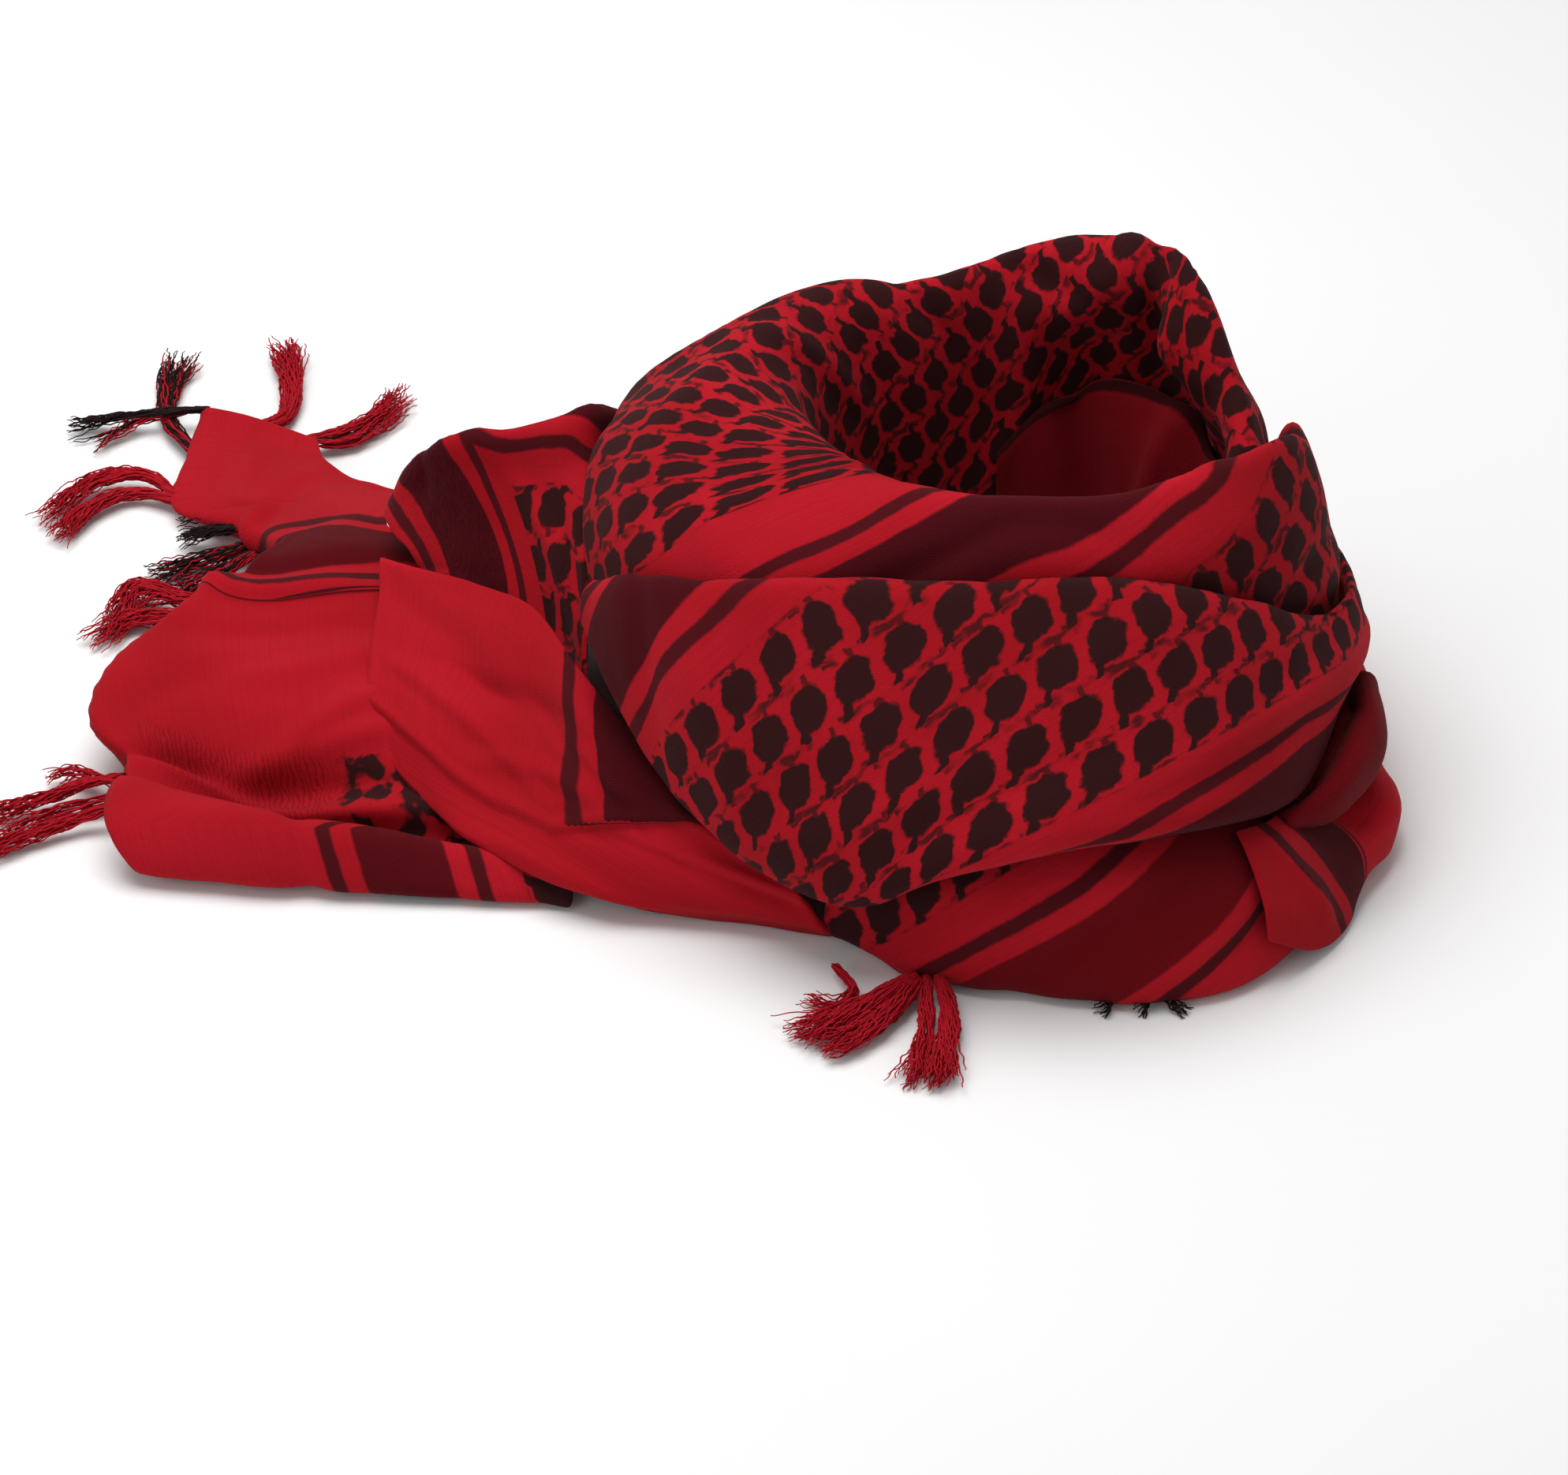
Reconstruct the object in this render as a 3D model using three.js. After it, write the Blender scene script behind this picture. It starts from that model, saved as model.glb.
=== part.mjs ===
// A square keffiyeh headscarf, wound once round into a neck loop and laid on a table with its two
// knotted ends spread to one side. Millimetres, +Z up. The tables are written round the middle of the
// neck opening: +X to the wearer's left, +Y away from the front folds, floor at Z = 0.
//
// Each stretch of cloth that shows is one wall, lofted through a table of sections. Buried layers share
// one rounded solid inside the loop and one inside the ends, and each fringe tassel is a tapered bundle.
import * as THREE from "three";

// Driving sizes
const CLOTH = 1.8; // wall of a stretch: two layers of cotton lying together
const REST = 1.2; // height of a wall's middle above the table where it lies flat
const TASSEL_ROOT = 3.2; // radius at the knot
const TASSEL_SPREAD = 8.5; // radius where the threads fan out
const TASSEL_SWELL = 1.5; // what the bundle gains in height towards its tip
const TASSEL_SIDES = 6;
const TASSEL_STEPS = 6;

// Finishes
const finish = (color, roughness = 0.92) =>
  new THREE.MeshStandardMaterial({ color, roughness, metalness: 0 });
const RED = finish(0xb3202c);
const CHECKED = finish(0x6d1a20);
const BURIED = finish(0x4a1016);
const THREAD = finish(0xc0263a, 0.85);
const DARK_THREAD = finish(0x33161a, 0.85);

const degrees = THREE.MathUtils.degToRad;
// Places of a section's points: round the neck opening as [outwards, up], or as plain [x, y, z].
const roundNeck = (angle, [out, up]) =>
  new THREE.Vector3(out * Math.cos(degrees(angle)), out * Math.sin(degrees(angle)), up);
const onTable = (_, [x, y, z]) => new THREE.Vector3(x, y, z);

// Smooth cubic through numbers given at rising stations, with slopes from their neighbours.
function smooth(stations, values, s) {
  const last = stations.length - 1;
  let i = 0;
  while (i < last - 1 && s > stations[i + 1]) i++;
  const slope = (k) => {
    const a = Math.max(k - 1, 0);
    const b = Math.min(k + 1, last);
    return (values[b] - values[a]) / (stations[b] - stations[a]);
  };
  const span = stations[i + 1] - stations[i];
  const t = (s - stations[i]) / span;
  const t2 = t * t;
  const t3 = t2 * t;
  return (
    (2 * t3 - 3 * t2 + 1) * values[i] +
    (t3 - 2 * t2 + t) * span * slope(i) +
    (3 * t2 - 2 * t3) * values[i + 1] +
    (t3 - t2) * span * slope(i + 1)
  );
}

// Smooth curve through one section's points, spaced by the root of their distance so that tight rolls
// don't overshoot. It returns `steps` points for each gap, and the last point.
function sectionCurve(points, steps) {
  const knots = [0];
  for (let i = 1; i < points.length; i++)
    knots.push(knots[i - 1] + Math.sqrt(Math.max(points[i].distanceTo(points[i - 1]), 0.5)));
  const made = [];
  const axis = ["x", "y", "z"].map((k) => points.map((p) => p[k]));
  for (let i = 0; i < points.length - 1; i++)
    for (let k = 0; k < steps + (i === points.length - 2); k++) {
      const s = knots[i] + ((knots[i + 1] - knots[i]) * k) / steps;
      made.push(new THREE.Vector3(...axis.map((values) => smooth(knots, values, s))));
    }
  return made;
}

// The middle surface of a stretch: a grid of points, rows along the stretch and columns across it.
function middleSurface({ sections, place, alongSteps, acrossSteps }) {
  const stations = sections.map((row) => row.at);
  const names = Object.keys(sections[0]).filter((key) => key !== "at");
  const parts = sections[0][names[0]].length;
  const grid = [];
  for (let i = 0; i < sections.length - 1; i++)
    for (let k = 0; k < alongSteps + (i === sections.length - 2); k++) {
      const s = stations[i] + ((stations[i + 1] - stations[i]) * k) / alongSteps;
      const points = names.map((name) => {
        const values = Array.from({ length: parts }, (_, part) =>
          smooth(stations, sections.map((row) => row[name][part]), s),
        );
        return place(s, values);
      });
      grid.push(sectionCurve(points, acrossSteps));
    }
  return grid;
}

// Which way each point of a grid faces: along the stretch crossed with across it.
function gridNormals(grid) {
  return grid.map((row, i) =>
    row.map((_, j) => {
      const along = grid[Math.min(i + 1, grid.length - 1)][j].clone().sub(grid[Math.max(i - 1, 0)][j]);
      const across = row[Math.min(j + 1, row.length - 1)].clone().sub(row[Math.max(j - 1, 0)]);
      return along.cross(across).normalize();
    }),
  );
}

// A closed mesh from two grids of the same size, back to back, with their four edges joined.
function closedShell(front, back) {
  const rows = front.length;
  const columns = front[0].length;
  const positions = [...front.flat(), ...back.flat()].flatMap((p) => [p.x, p.y, p.z]);
  const index = [];
  const at = (side, i, j) => side * rows * columns + i * columns + j;
  const quad = (a, b, c, d) => index.push(a, b, c, a, c, d);
  for (let i = 0; i < rows - 1; i++)
    for (let j = 0; j < columns - 1; j++) {
      quad(at(0, i, j), at(0, i + 1, j), at(0, i + 1, j + 1), at(0, i, j + 1));
      quad(at(1, i, j), at(1, i, j + 1), at(1, i + 1, j + 1), at(1, i + 1, j));
    }
  for (let i = 0; i < rows - 1; i++) {
    quad(at(0, i, 0), at(1, i, 0), at(1, i + 1, 0), at(0, i + 1, 0));
    const j = columns - 1;
    quad(at(0, i, j), at(0, i + 1, j), at(1, i + 1, j), at(1, i, j));
  }
  for (let j = 0; j < columns - 1; j++) {
    quad(at(0, 0, j), at(0, 0, j + 1), at(1, 0, j + 1), at(1, 0, j));
    const i = rows - 1;
    quad(at(0, i, j), at(1, i, j), at(1, i, j + 1), at(0, i, j + 1));
  }
  return new THREE.BufferGeometry()
    .setAttribute("position", new THREE.Float32BufferAttribute(positions, 3))
    .setIndex(index);
}

function clothWall(stretch) {
  const grid = middleSurface(stretch);
  const normals = gridNormals(grid);
  const moved = (distance) =>
    grid.map((row, i) => row.map((p, j) => p.clone().addScaledVector(normals[i][j], distance)));
  return closedShell(moved(CLOTH / 2), moved(-CLOTH / 2));
}

// A closed solid from rows of points that each run round it once: a ring joined end to end, or a bar with
// flat ends.
function rowsSolid(rows, joined) {
  const sides = rows[0].length;
  const positions = rows.flat().flatMap((p) => [p.x, p.y, p.z]);
  const index = [];
  const at = (i, k) => (i % rows.length) * sides + (k % sides);
  for (let i = 0; i < rows.length - (joined ? 0 : 1); i++)
    for (let k = 0; k < sides; k++) {
      index.push(at(i, k), at(i, k + 1), at(i + 1, k + 1));
      index.push(at(i, k), at(i + 1, k + 1), at(i + 1, k));
    }
  for (let k = 1; k < sides - 1 && !joined; k++) {
    index.push(at(0, 0), at(0, k + 1), at(0, k));
    index.push(at(rows.length - 1, 0), at(rows.length - 1, k), at(rows.length - 1, k + 1));
  }
  return new THREE.BufferGeometry()
    .setAttribute("position", new THREE.Float32BufferAttribute(positions, 3))
    .setIndex(index);
}
const ringSolid = (stretch) => rowsSolid(middleSurface(stretch).slice(0, -1), true);
const barSolid = (stretch) => rowsSolid(middleSurface(stretch).reverse(), false);

const scarf = new THREE.Group();
function add(name, geometry, material) {
  const mesh = new THREE.Mesh(geometry, material);
  mesh.name = name;
  scarf.add(mesh);
}

// The upper wrap: the long turn of cloth that stands round the neck opening. It starts inside the right
// back of the loop, runs along the back, the left and the front, and ends over its own start.
const UPPER_WRAP = {
  place: roundNeck,
  alongSteps: 2,
  acrossSteps: 2,
  sections: [
    { at: 12, tuck: [92, 6], wall: [93, 100], lip: [88, 130], rim: [95, 142],
      shoulder: [101, 134], side: [112, 100], hem: [118, 60] },
    { at: 30, tuck: [102, 6], wall: [103, 115], lip: [91, 150], rim: [98, 162],
      shoulder: [104, 153], side: [119, 104], hem: [125, 54] },
    { at: 46, tuck: [107, 6], wall: [107, 135], lip: [80, 168], rim: [103, 187],
      shoulder: [111, 178], side: [125, 110], hem: [133, 44] },
    { at: 57, tuck: [110, 6], wall: [110, 145], lip: [101, 184], rim: [109, 199],
      shoulder: [116, 190], side: [130, 116], hem: [140, 38] },
    { at: 72, tuck: [103, 6], wall: [103, 140], lip: [86, 174], rim: [103, 196],
      shoulder: [112, 188], side: [129, 120], hem: [143, 42] },
    { at: 92, tuck: [89, 6], wall: [90, 125], lip: [92, 166], rim: [101, 189],
      shoulder: [110, 181], side: [128, 118], hem: [142, 52] },
    { at: 112, tuck: [88, 6], wall: [92, 115], lip: [97, 158], rim: [105, 176],
      shoulder: [114, 168], side: [136, 114], hem: [148, 54] },
    { at: 138, tuck: [92, 6], wall: [97, 115], lip: [105, 158], rim: [122, 176],
      shoulder: [141, 169], side: [162, 118], hem: [170, 46] },
    { at: 160, tuck: [90, 6], wall: [95, 115], lip: [103, 156], rim: [122, 172],
      shoulder: [154, 164], side: [187, 126], hem: [187, 50] },
    { at: 180, tuck: [82, 6], wall: [85, 115], lip: [89, 158], rim: [108, 175],
      shoulder: [150, 170], side: [182, 134], hem: [184, 64] },
    { at: 197, tuck: [76, 6], wall: [79, 118], lip: [82, 162], rim: [95, 175],
      shoulder: [140, 166], side: [174, 132], hem: [177, 86] },
    { at: 209, tuck: [72, 6], wall: [75, 120], lip: [79, 165], rim: [90, 176],
      shoulder: [124, 165], side: [152, 142], hem: [157, 121] },
    { at: 220, tuck: [68, 6], wall: [72, 120], lip: [76, 167], rim: [86, 177],
      shoulder: [111, 166], side: [133, 150], hem: [138, 134] },
    { at: 232, tuck: [66, 6], wall: [70, 120], lip: [74, 169], rim: [83, 179],
      shoulder: [101, 169], side: [116, 154], hem: [119, 143] },
    { at: 246, tuck: [64, 6], wall: [67, 120], lip: [71, 170], rim: [80, 181],
      shoulder: [95, 171], side: [106, 156], hem: [108, 145] },
    { at: 270, tuck: [62, 6], wall: [65, 120], lip: [69, 172], rim: [78, 183],
      shoulder: [91, 173], side: [98, 159], hem: [99, 147] },
    { at: 298, tuck: [64, 6], wall: [68, 120], lip: [75, 172], rim: [83, 183],
      shoulder: [95, 172], side: [102, 154], hem: [103, 142] },
    { at: 312, tuck: [67, 40], wall: [71, 118], lip: [81, 174], rim: [89, 186],
      shoulder: [102, 172], side: [110, 150], hem: [112, 136] },
    { at: 324, tuck: [76, 92], wall: [78, 117], lip: [89, 175], rim: [96, 187],
      shoulder: [110, 171], side: [119, 144], hem: [121, 129] },
    { at: 346, tuck: [95, 101], wall: [97, 120], lip: [103, 168], rim: [109, 180],
      shoulder: [118, 165], side: [130, 128], hem: [133, 112] },
    { at: 364, tuck: [113, 92], wall: [112, 118], lip: [109, 138], rim: [114, 148],
      shoulder: [120, 140], side: [128, 118], hem: [132, 98] },
    { at: 386, tuck: [127, 86], wall: [126, 108], lip: [123, 122], rim: [127, 129],
      shoulder: [131, 124], side: [134, 108], hem: [136, 92] },
  ],
};
add("upper_wrap", clothWall(UPPER_WRAP), CHECKED);

// The front wrap: the broad lower turn across the front. Its upper edge is a fold, and it tapers to a
// folded corner at the left.
const FRONT_WRAP = {
  place: roundNeck,
  alongSteps: 2,
  acrossSteps: 2,
  sections: [
    { at: 195, back: [187, 110], top: [190, 121], upper: [194, 117],
      belly: [195, 112], lower: [195, 107], hem: [194, 101], under: [189, 96] },
    { at: 202, back: [177, 122], top: [180, 138], upper: [187, 133],
      belly: [192, 121], lower: [194, 106], hem: [193, 90], under: [185, 82] },
    { at: 212, back: [161, 130], top: [162, 149], upper: [171, 145],
      belly: [185, 122], lower: [190, 92], hem: [188, 64], under: [180, 56] },
    { at: 228, back: [131, 138], top: [131, 158], upper: [142, 154],
      belly: [169, 120], lower: [186, 80], hem: [188, 54], under: [179, 46] },
    { at: 244, back: [114, 140], top: [114, 160], upper: [126, 156],
      belly: [160, 116], lower: [184, 70], hem: [186, 46], under: [176, 38] },
    { at: 258, back: [107, 141], top: [106, 161], upper: [118, 156],
      belly: [152, 120], lower: [177, 88], hem: [183, 70], under: [173, 62] },
    { at: 275, back: [104, 141], top: [103, 161], upper: [115, 155],
      belly: [147, 123], lower: [171, 98], hem: [179, 86], under: [169, 76] },
    { at: 294, back: [107, 136], top: [106, 155], upper: [118, 150],
      belly: [146, 121], lower: [167, 94], hem: [173, 81], under: [164, 71] },
    { at: 314, back: [120, 121], top: [119, 139], upper: [128, 134],
      belly: [146, 108], lower: [156, 80], hem: [158, 64], under: [151, 56] },
    { at: 330, back: [132, 101], top: [132, 117], upper: [139, 112],
      belly: [147, 95], lower: [147, 78], hem: [144, 65], under: [138, 58] },
    { at: 345, back: [137, 96], top: [137, 107], upper: [142, 101],
      belly: [145, 89], lower: [144, 76], hem: [141, 65], under: [136, 58] },
    { at: 357, back: [136, 88], top: [137, 94], upper: [140, 89],
      belly: [141, 80], lower: [140, 70], hem: [138, 61], under: [134, 56] },
    { at: 374, back: [137, 77], top: [138, 82], upper: [140, 77],
      belly: [141, 69], lower: [140, 60], hem: [138, 52], under: [134, 48] },
    { at: 396, back: [139, 74], top: [140, 77], upper: [141, 73],
      belly: [142, 66], lower: [142, 59], hem: [141, 53], under: [138, 50] },
  ],
};
add("front_wrap", clothWall(FRONT_WRAP), CHECKED);

// Inside the neck opening, the older turn of cloth that shows below the overhanging back rim.
const INNER_WRAP = {
  place: roundNeck,
  alongSteps: 2,
  acrossSteps: 2,
  sections: [
    { at: -44, top: [80, 88], crest: [78, 87], wall: [77, 72], low: [76, 46], hem: [76, 8] },
    { at: -34, top: [80, 87], crest: [78, 86], wall: [75, 72], low: [74, 46], hem: [74, 8] },
    { at: -22, top: [81, 92], crest: [77, 91], wall: [73, 76], low: [71, 48], hem: [72, 8] },
    { at: 2, top: [86, 108], crest: [81, 106], wall: [75, 84], low: [72, 50], hem: [73, 8] },
    { at: 28, top: [94, 118], crest: [89, 117], wall: [82, 92], low: [78, 50], hem: [78, 8] },
    { at: 50, top: [100, 128], crest: [94, 127], wall: [86, 98], low: [81, 50], hem: [81, 8] },
    { at: 70, top: [96, 130], crest: [90, 128], wall: [83, 98], low: [79, 50], hem: [79, 8] },
    { at: 84, top: [86, 120], crest: [83, 117], wall: [80, 94], low: [79, 50], hem: [79, 8] },
    { at: 97, top: [84, 96], crest: [83, 93], wall: [83, 76], low: [82, 46], hem: [82, 8] },
  ],
};
add("inner_wrap", clothWall(INNER_WRAP), RED);

// The lowest turn at the front, from under the front wrap down to the table.
const FOOT_WRAP = {
  place: roundNeck,
  alongSteps: 2,
  acrossSteps: 2,
  sections: [
    { at: 238, top: [155, 34], upper: [158, 28], belly: [161, 18], toe: [162, 8], under: [155, REST] },
    { at: 247, top: [155, 46], upper: [161, 38], belly: [165, 22], toe: [167, 8], under: [159, REST] },
    { at: 258, top: [156, 58], upper: [167, 45], belly: [172, 26], toe: [174, 8], under: [166, REST] },
    { at: 274, top: [157, 66], upper: [170, 55], belly: [177, 32], toe: [181, 8], under: [172, REST] },
    { at: 286, top: [156, 67], upper: [172, 57], belly: [183, 34], toe: [189, 7], under: [180, REST] },
    { at: 296, top: [155, 64], upper: [170, 55], belly: [185, 34], toe: [192, 7], under: [183, REST] },
    { at: 306, top: [151, 54], upper: [162, 47], belly: [175, 31], toe: [182, 7], under: [173, REST] },
    { at: 314, top: [145, 42], upper: [152, 37], belly: [164, 26], toe: [171, 7], under: [163, REST] },
  ],
};
add("foot_wrap", clothWall(FOOT_WRAP), RED);

// Two folds that stick out at the right of the loop: a hollow lip above, a plump roll below it.
const RIGHT_LOOP = {
  place: roundNeck,
  alongSteps: 2,
  acrossSteps: 2,
  sections: [
    { at: 317, start: [161, 46], under: [165, 44], outer: [167, 50],
      crest: [167, 56], top: [165, 61], back: [162, 60], end: [161, 54] },
    { at: 324, start: [154, 40], under: [160, 38], outer: [165, 45],
      crest: [167, 56], top: [164, 64], back: [159, 66], end: [156, 58] },
    { at: 332, start: [147, 38], under: [155, 36], outer: [163, 43],
      crest: [165, 56], top: [161, 67], back: [155, 70], end: [152, 62] },
    { at: 340, start: [143, 38], under: [150, 37], outer: [155, 43],
      crest: [156, 55], top: [153, 65], back: [149, 68], end: [147, 60] },
    { at: 347, start: [141, 40], under: [146, 39], outer: [148, 44],
      crest: [149, 53], top: [148, 60], back: [147, 63], end: [146, 58] },
  ],
};
add("right_loop", clothWall(RIGHT_LOOP), RED);

const RIGHT_ROLL = {
  place: roundNeck,
  alongSteps: 2,
  acrossSteps: 2,
  sections: [
    { at: 300, start: [165, 62], inner: [171, 58], top: [176, 53],
      outer: [181, 47], side: [186, 41], toe: [190, 35] },
    { at: 308, start: [160, 56], inner: [166, 53], top: [172, 46],
      outer: [180, 35], side: [185, 25], toe: [188, 15] },
    { at: 316, start: [146, 51], inner: [156, 46], top: [167, 38],
      outer: [175, 26], side: [177, 14], toe: [175, 5] },
    { at: 324, start: [142, 34], inner: [153, 34], top: [165, 30],
      outer: [174, 22], side: [175, 11], toe: [169, 3] },
    { at: 332, start: [139, 30], inner: [152, 30], top: [165, 29],
      outer: [174, 21], side: [175, 10], toe: [168, REST] },
    { at: 345, start: [136, 30], inner: [144, 30], top: [150, 28],
      outer: [156, 20], side: [156, 9], toe: [149, REST] },
    { at: 362, start: [145, 30], inner: [148, 29], top: [151, 25],
      outer: [153, 18], side: [153, 9], toe: [148, REST] },
    { at: 382, start: [146, 27], inner: [148, 26], top: [150, 23],
      outer: [152, 16], side: [152, 8], toe: [148, REST] },
  ],
};
add("right_roll", clothWall(RIGHT_ROLL), RED);

// The older turn behind and to the right, from under the upper wrap's outer hem down to the table.
const BACK_WRAP = {
  place: roundNeck,
  alongSteps: 2,
  acrossSteps: 2,
  sections: [
    { at: 8, top: [111, 66], upper: [115, 53], belly: [133, 30], toe: [139, 10], under: [130, REST] },
    { at: 28, top: [119, 60], upper: [123, 47], belly: [137, 27], toe: [141, 9], under: [132, REST] },
    { at: 46, top: [127, 50], upper: [131, 38], belly: [142, 23], toe: [146, 9], under: [137, REST] },
    { at: 57, top: [134, 45], upper: [138, 33], belly: [148, 21], toe: [152, 9], under: [143, REST] },
    { at: 74, top: [138, 48], upper: [142, 36], belly: [152, 22], toe: [156, 9], under: [147, REST] },
    { at: 92, top: [136, 58], upper: [140, 46], belly: [153, 26], toe: [158, 9], under: [149, REST] },
    { at: 112, top: [142, 60], upper: [146, 48], belly: [160, 27], toe: [166, 9], under: [157, REST] },
    { at: 128, top: [154, 56], upper: [158, 44], belly: [173, 26], toe: [178, 9], under: [169, REST] },
    { at: 142, top: [166, 53], upper: [170, 41], belly: [184, 25], toe: [188, 9], under: [180, REST] },
  ],
};
add("back_wrap", clothWall(BACK_WRAP), RED);

// The left wrap: the turn that leaves the loop at the left, standing behind the two ends.
const LEFT_WRAP = {
  place: onTable,
  alongSteps: 2,
  acrossSteps: 2,
  sections: [
    { at: 0, foot: [-275, 96, 60], back: [-277, 92, 64], top: [-279, 82, 68],
      face: [-278, 74, 68], front: [-274, 66, 66], low: [-268, 58, 64], sunk: [-262, 50, 58] },
    { at: 1, foot: [-268, 104, 56], back: [-270, 96, 76], top: [-269, 76, 94],
      face: [-263, 68, 88], front: [-258, 58, 78], low: [-253, 48, 69], sunk: [-247, 38, 62] },
    { at: 2, foot: [-252, 110, 6], back: [-254, 98, 64], top: [-251, 68, 116],
      face: [-246, 60, 102], front: [-240, 50, 84], low: [-236, 40, 72], sunk: [-232, 28, 58] },
    { at: 3, foot: [-226, 114, 6], back: [-226, 101, 66], top: [-225, 65, 121],
      face: [-222, 55, 104], front: [-217, 40, 82], low: [-214, 24, 64], sunk: [-211, 6, 50] },
    { at: 4, foot: [-204, 116, 6], back: [-203, 101, 68], top: [-202, 60, 131],
      face: [-200, 46, 112], front: [-198, 22, 84], low: [-196, 0, 60], sunk: [-195, -22, 44] },
    { at: 5, foot: [-186, 118, 6], back: [-186, 102, 66], top: [-187, 64, 134],
      face: [-188, 47, 118], front: [-190, 16, 90], low: [-190, -22, 62], sunk: [-190, -44, 42] },
    { at: 6, foot: [-152, 132, 6], back: [-154, 119, 56], top: [-167, 88, 112],
      face: [-183, 62, 106], front: [-190, 28, 88], low: [-191, -16, 66], sunk: [-191, -38, 46] },
  ],
};
add("left_wrap", clothWall(LEFT_WRAP), CHECKED);

// The front end: the scarf's end that comes out from under the front wrap and rolls under at its edge.
const FRONT_END = {
  place: onTable,
  alongSteps: 2,
  acrossSteps: 2,
  sections: [
    { at: 0, top: [-280, 50, 62], high: [-281, 24, 50], middle: [-283, -4, 40],
      low: [-283, -20, 34], turn: [-280, -32, 29], roll: [-276, -41, 24], foot: [-270, -40, 21] },
    { at: 1, top: [-265, 38, 65], high: [-265, 16, 58], middle: [-266, -8, 47],
      low: [-267, -30, 37], turn: [-266, -48, 28], roll: [-262, -62, 19], foot: [-256, -58, 18] },
    { at: 2, top: [-238, 18, 71], high: [-239, 0, 68], middle: [-241, -24, 55],
      low: [-242, -48, 41], turn: [-240, -76, 29], roll: [-236, -95, 20], foot: [-228, -92, 17] },
    { at: 3, top: [-211, -10, 77], high: [-211, -28, 73], middle: [-212, -52, 58],
      low: [-210, -78, 42], turn: [-206, -102, 30], roll: [-200, -118, 16], foot: [-192, -114, 13] },
    { at: 4, top: [-190, -54, 76], high: [-189, -66, 72], middle: [-186, -82, 62],
      low: [-180, -100, 48], turn: [-172, -118, 34], roll: [-166, -128, 15], foot: [-160, -120, 3] },
    { at: 5, top: [-160, -86, 55], high: [-157, -96, 53], middle: [-152, -107, 48],
      low: [-145, -117, 40], turn: [-138, -128, 31], roll: [-131, -134, 14], foot: [-125, -126, 2] },
    { at: 6, top: [-122, -122, 40], high: [-116, -126, 38], middle: [-110, -130, 34],
      low: [-103, -134, 28], turn: [-96, -139, 21], roll: [-90, -142, 11], foot: [-86, -136, 2] },
  ],
};
add("front_end", clothWall(FRONT_END), RED);

// The left end: it lies spread on the table, curled up along its front edge, and reaches to a cut corner
// at the back.
const LEFT_END = {
  place: onTable,
  alongSteps: 2,
  acrossSteps: 2,
  sections: [
    { at: 0, tuck: [-358, -81, 5], left: [-366, -80, REST],
      inner: [-334, -88, REST], middle: [-276, -92, REST],
      right: [-200, -98, REST] },
    { at: 1, tuck: [-368, -94, 10], left: [-378, -100, 8],
      inner: [-336, -107, 8], middle: [-274, -111, 6], right: [-196, -117, 4] },
    { at: 2, tuck: [-379, -84, 17], left: [-390, -88, 22],
      inner: [-336, -96, 26], middle: [-272, -101, 18], right: [-196, -108, 9] },
    { at: 3, tuck: [-378, -68, 19], left: [-388, -66, 28],
      inner: [-332, -80, 22], middle: [-270, -88, 13], right: [-200, -98, 7] },
    { at: 4, tuck: [-374, -46, 12], left: [-384, -45, 23],
      inner: [-326, -54, 8], middle: [-272, -68, 6], right: [-204, -76, 4] },
    { at: 5, tuck: [-390, -22, 8], left: [-402, -20, 29],
      inner: [-332, -12, 24], middle: [-280, -24, 22], right: [-206, -34, 16] },
    { at: 6, tuck: [-381, 14, 6], left: [-394, 16, 36],
      inner: [-336, 30, 40], middle: [-286, 28, 43], right: [-216, 24, 38] },
    { at: 7, tuck: [-350, 54, 6], left: [-362, 54, 40],
      inner: [-334, 70, 44], middle: [-296, 76, 50], right: [-244, 72, 43] },
    { at: 8, tuck: [-324, 95, 8], left: [-331, 96, 36],
      inner: [-318, 102, 40], middle: [-300, 106, 43],
      right: [-283, 104, 42] },
    { at: 9, tuck: [-328, 114, 6], left: [-334, 113, 29],
      inner: [-318, 118, 33], middle: [-298, 128, 36], right: [-276, 138, 34] },
    { at: 10, tuck: [-345, 146, 5], left: [-352, 145, 14],
      inner: [-334, 147, 23], middle: [-312, 150, 28], right: [-289, 154, 29] },
    { at: 11, tuck: [-376, 171, 4], left: [-384, 168, 9],
      inner: [-354, 164, 16], middle: [-328, 166, 20], right: [-304, 170, 22] },
    { at: 12, tuck: [-373, 206, 4], left: [-381, 206, 10],
      inner: [-358, 202, 12], middle: [-337, 198, 14], right: [-318, 196, 15] },
    { at: 13, tuck: [-368, 244, 4], left: [-376, 245, 10],
      inner: [-359, 237, 12], middle: [-341, 228, 12], right: [-323, 216, 12] },
  ],
};
add("left_end", clothWall(LEFT_END), RED);

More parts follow.
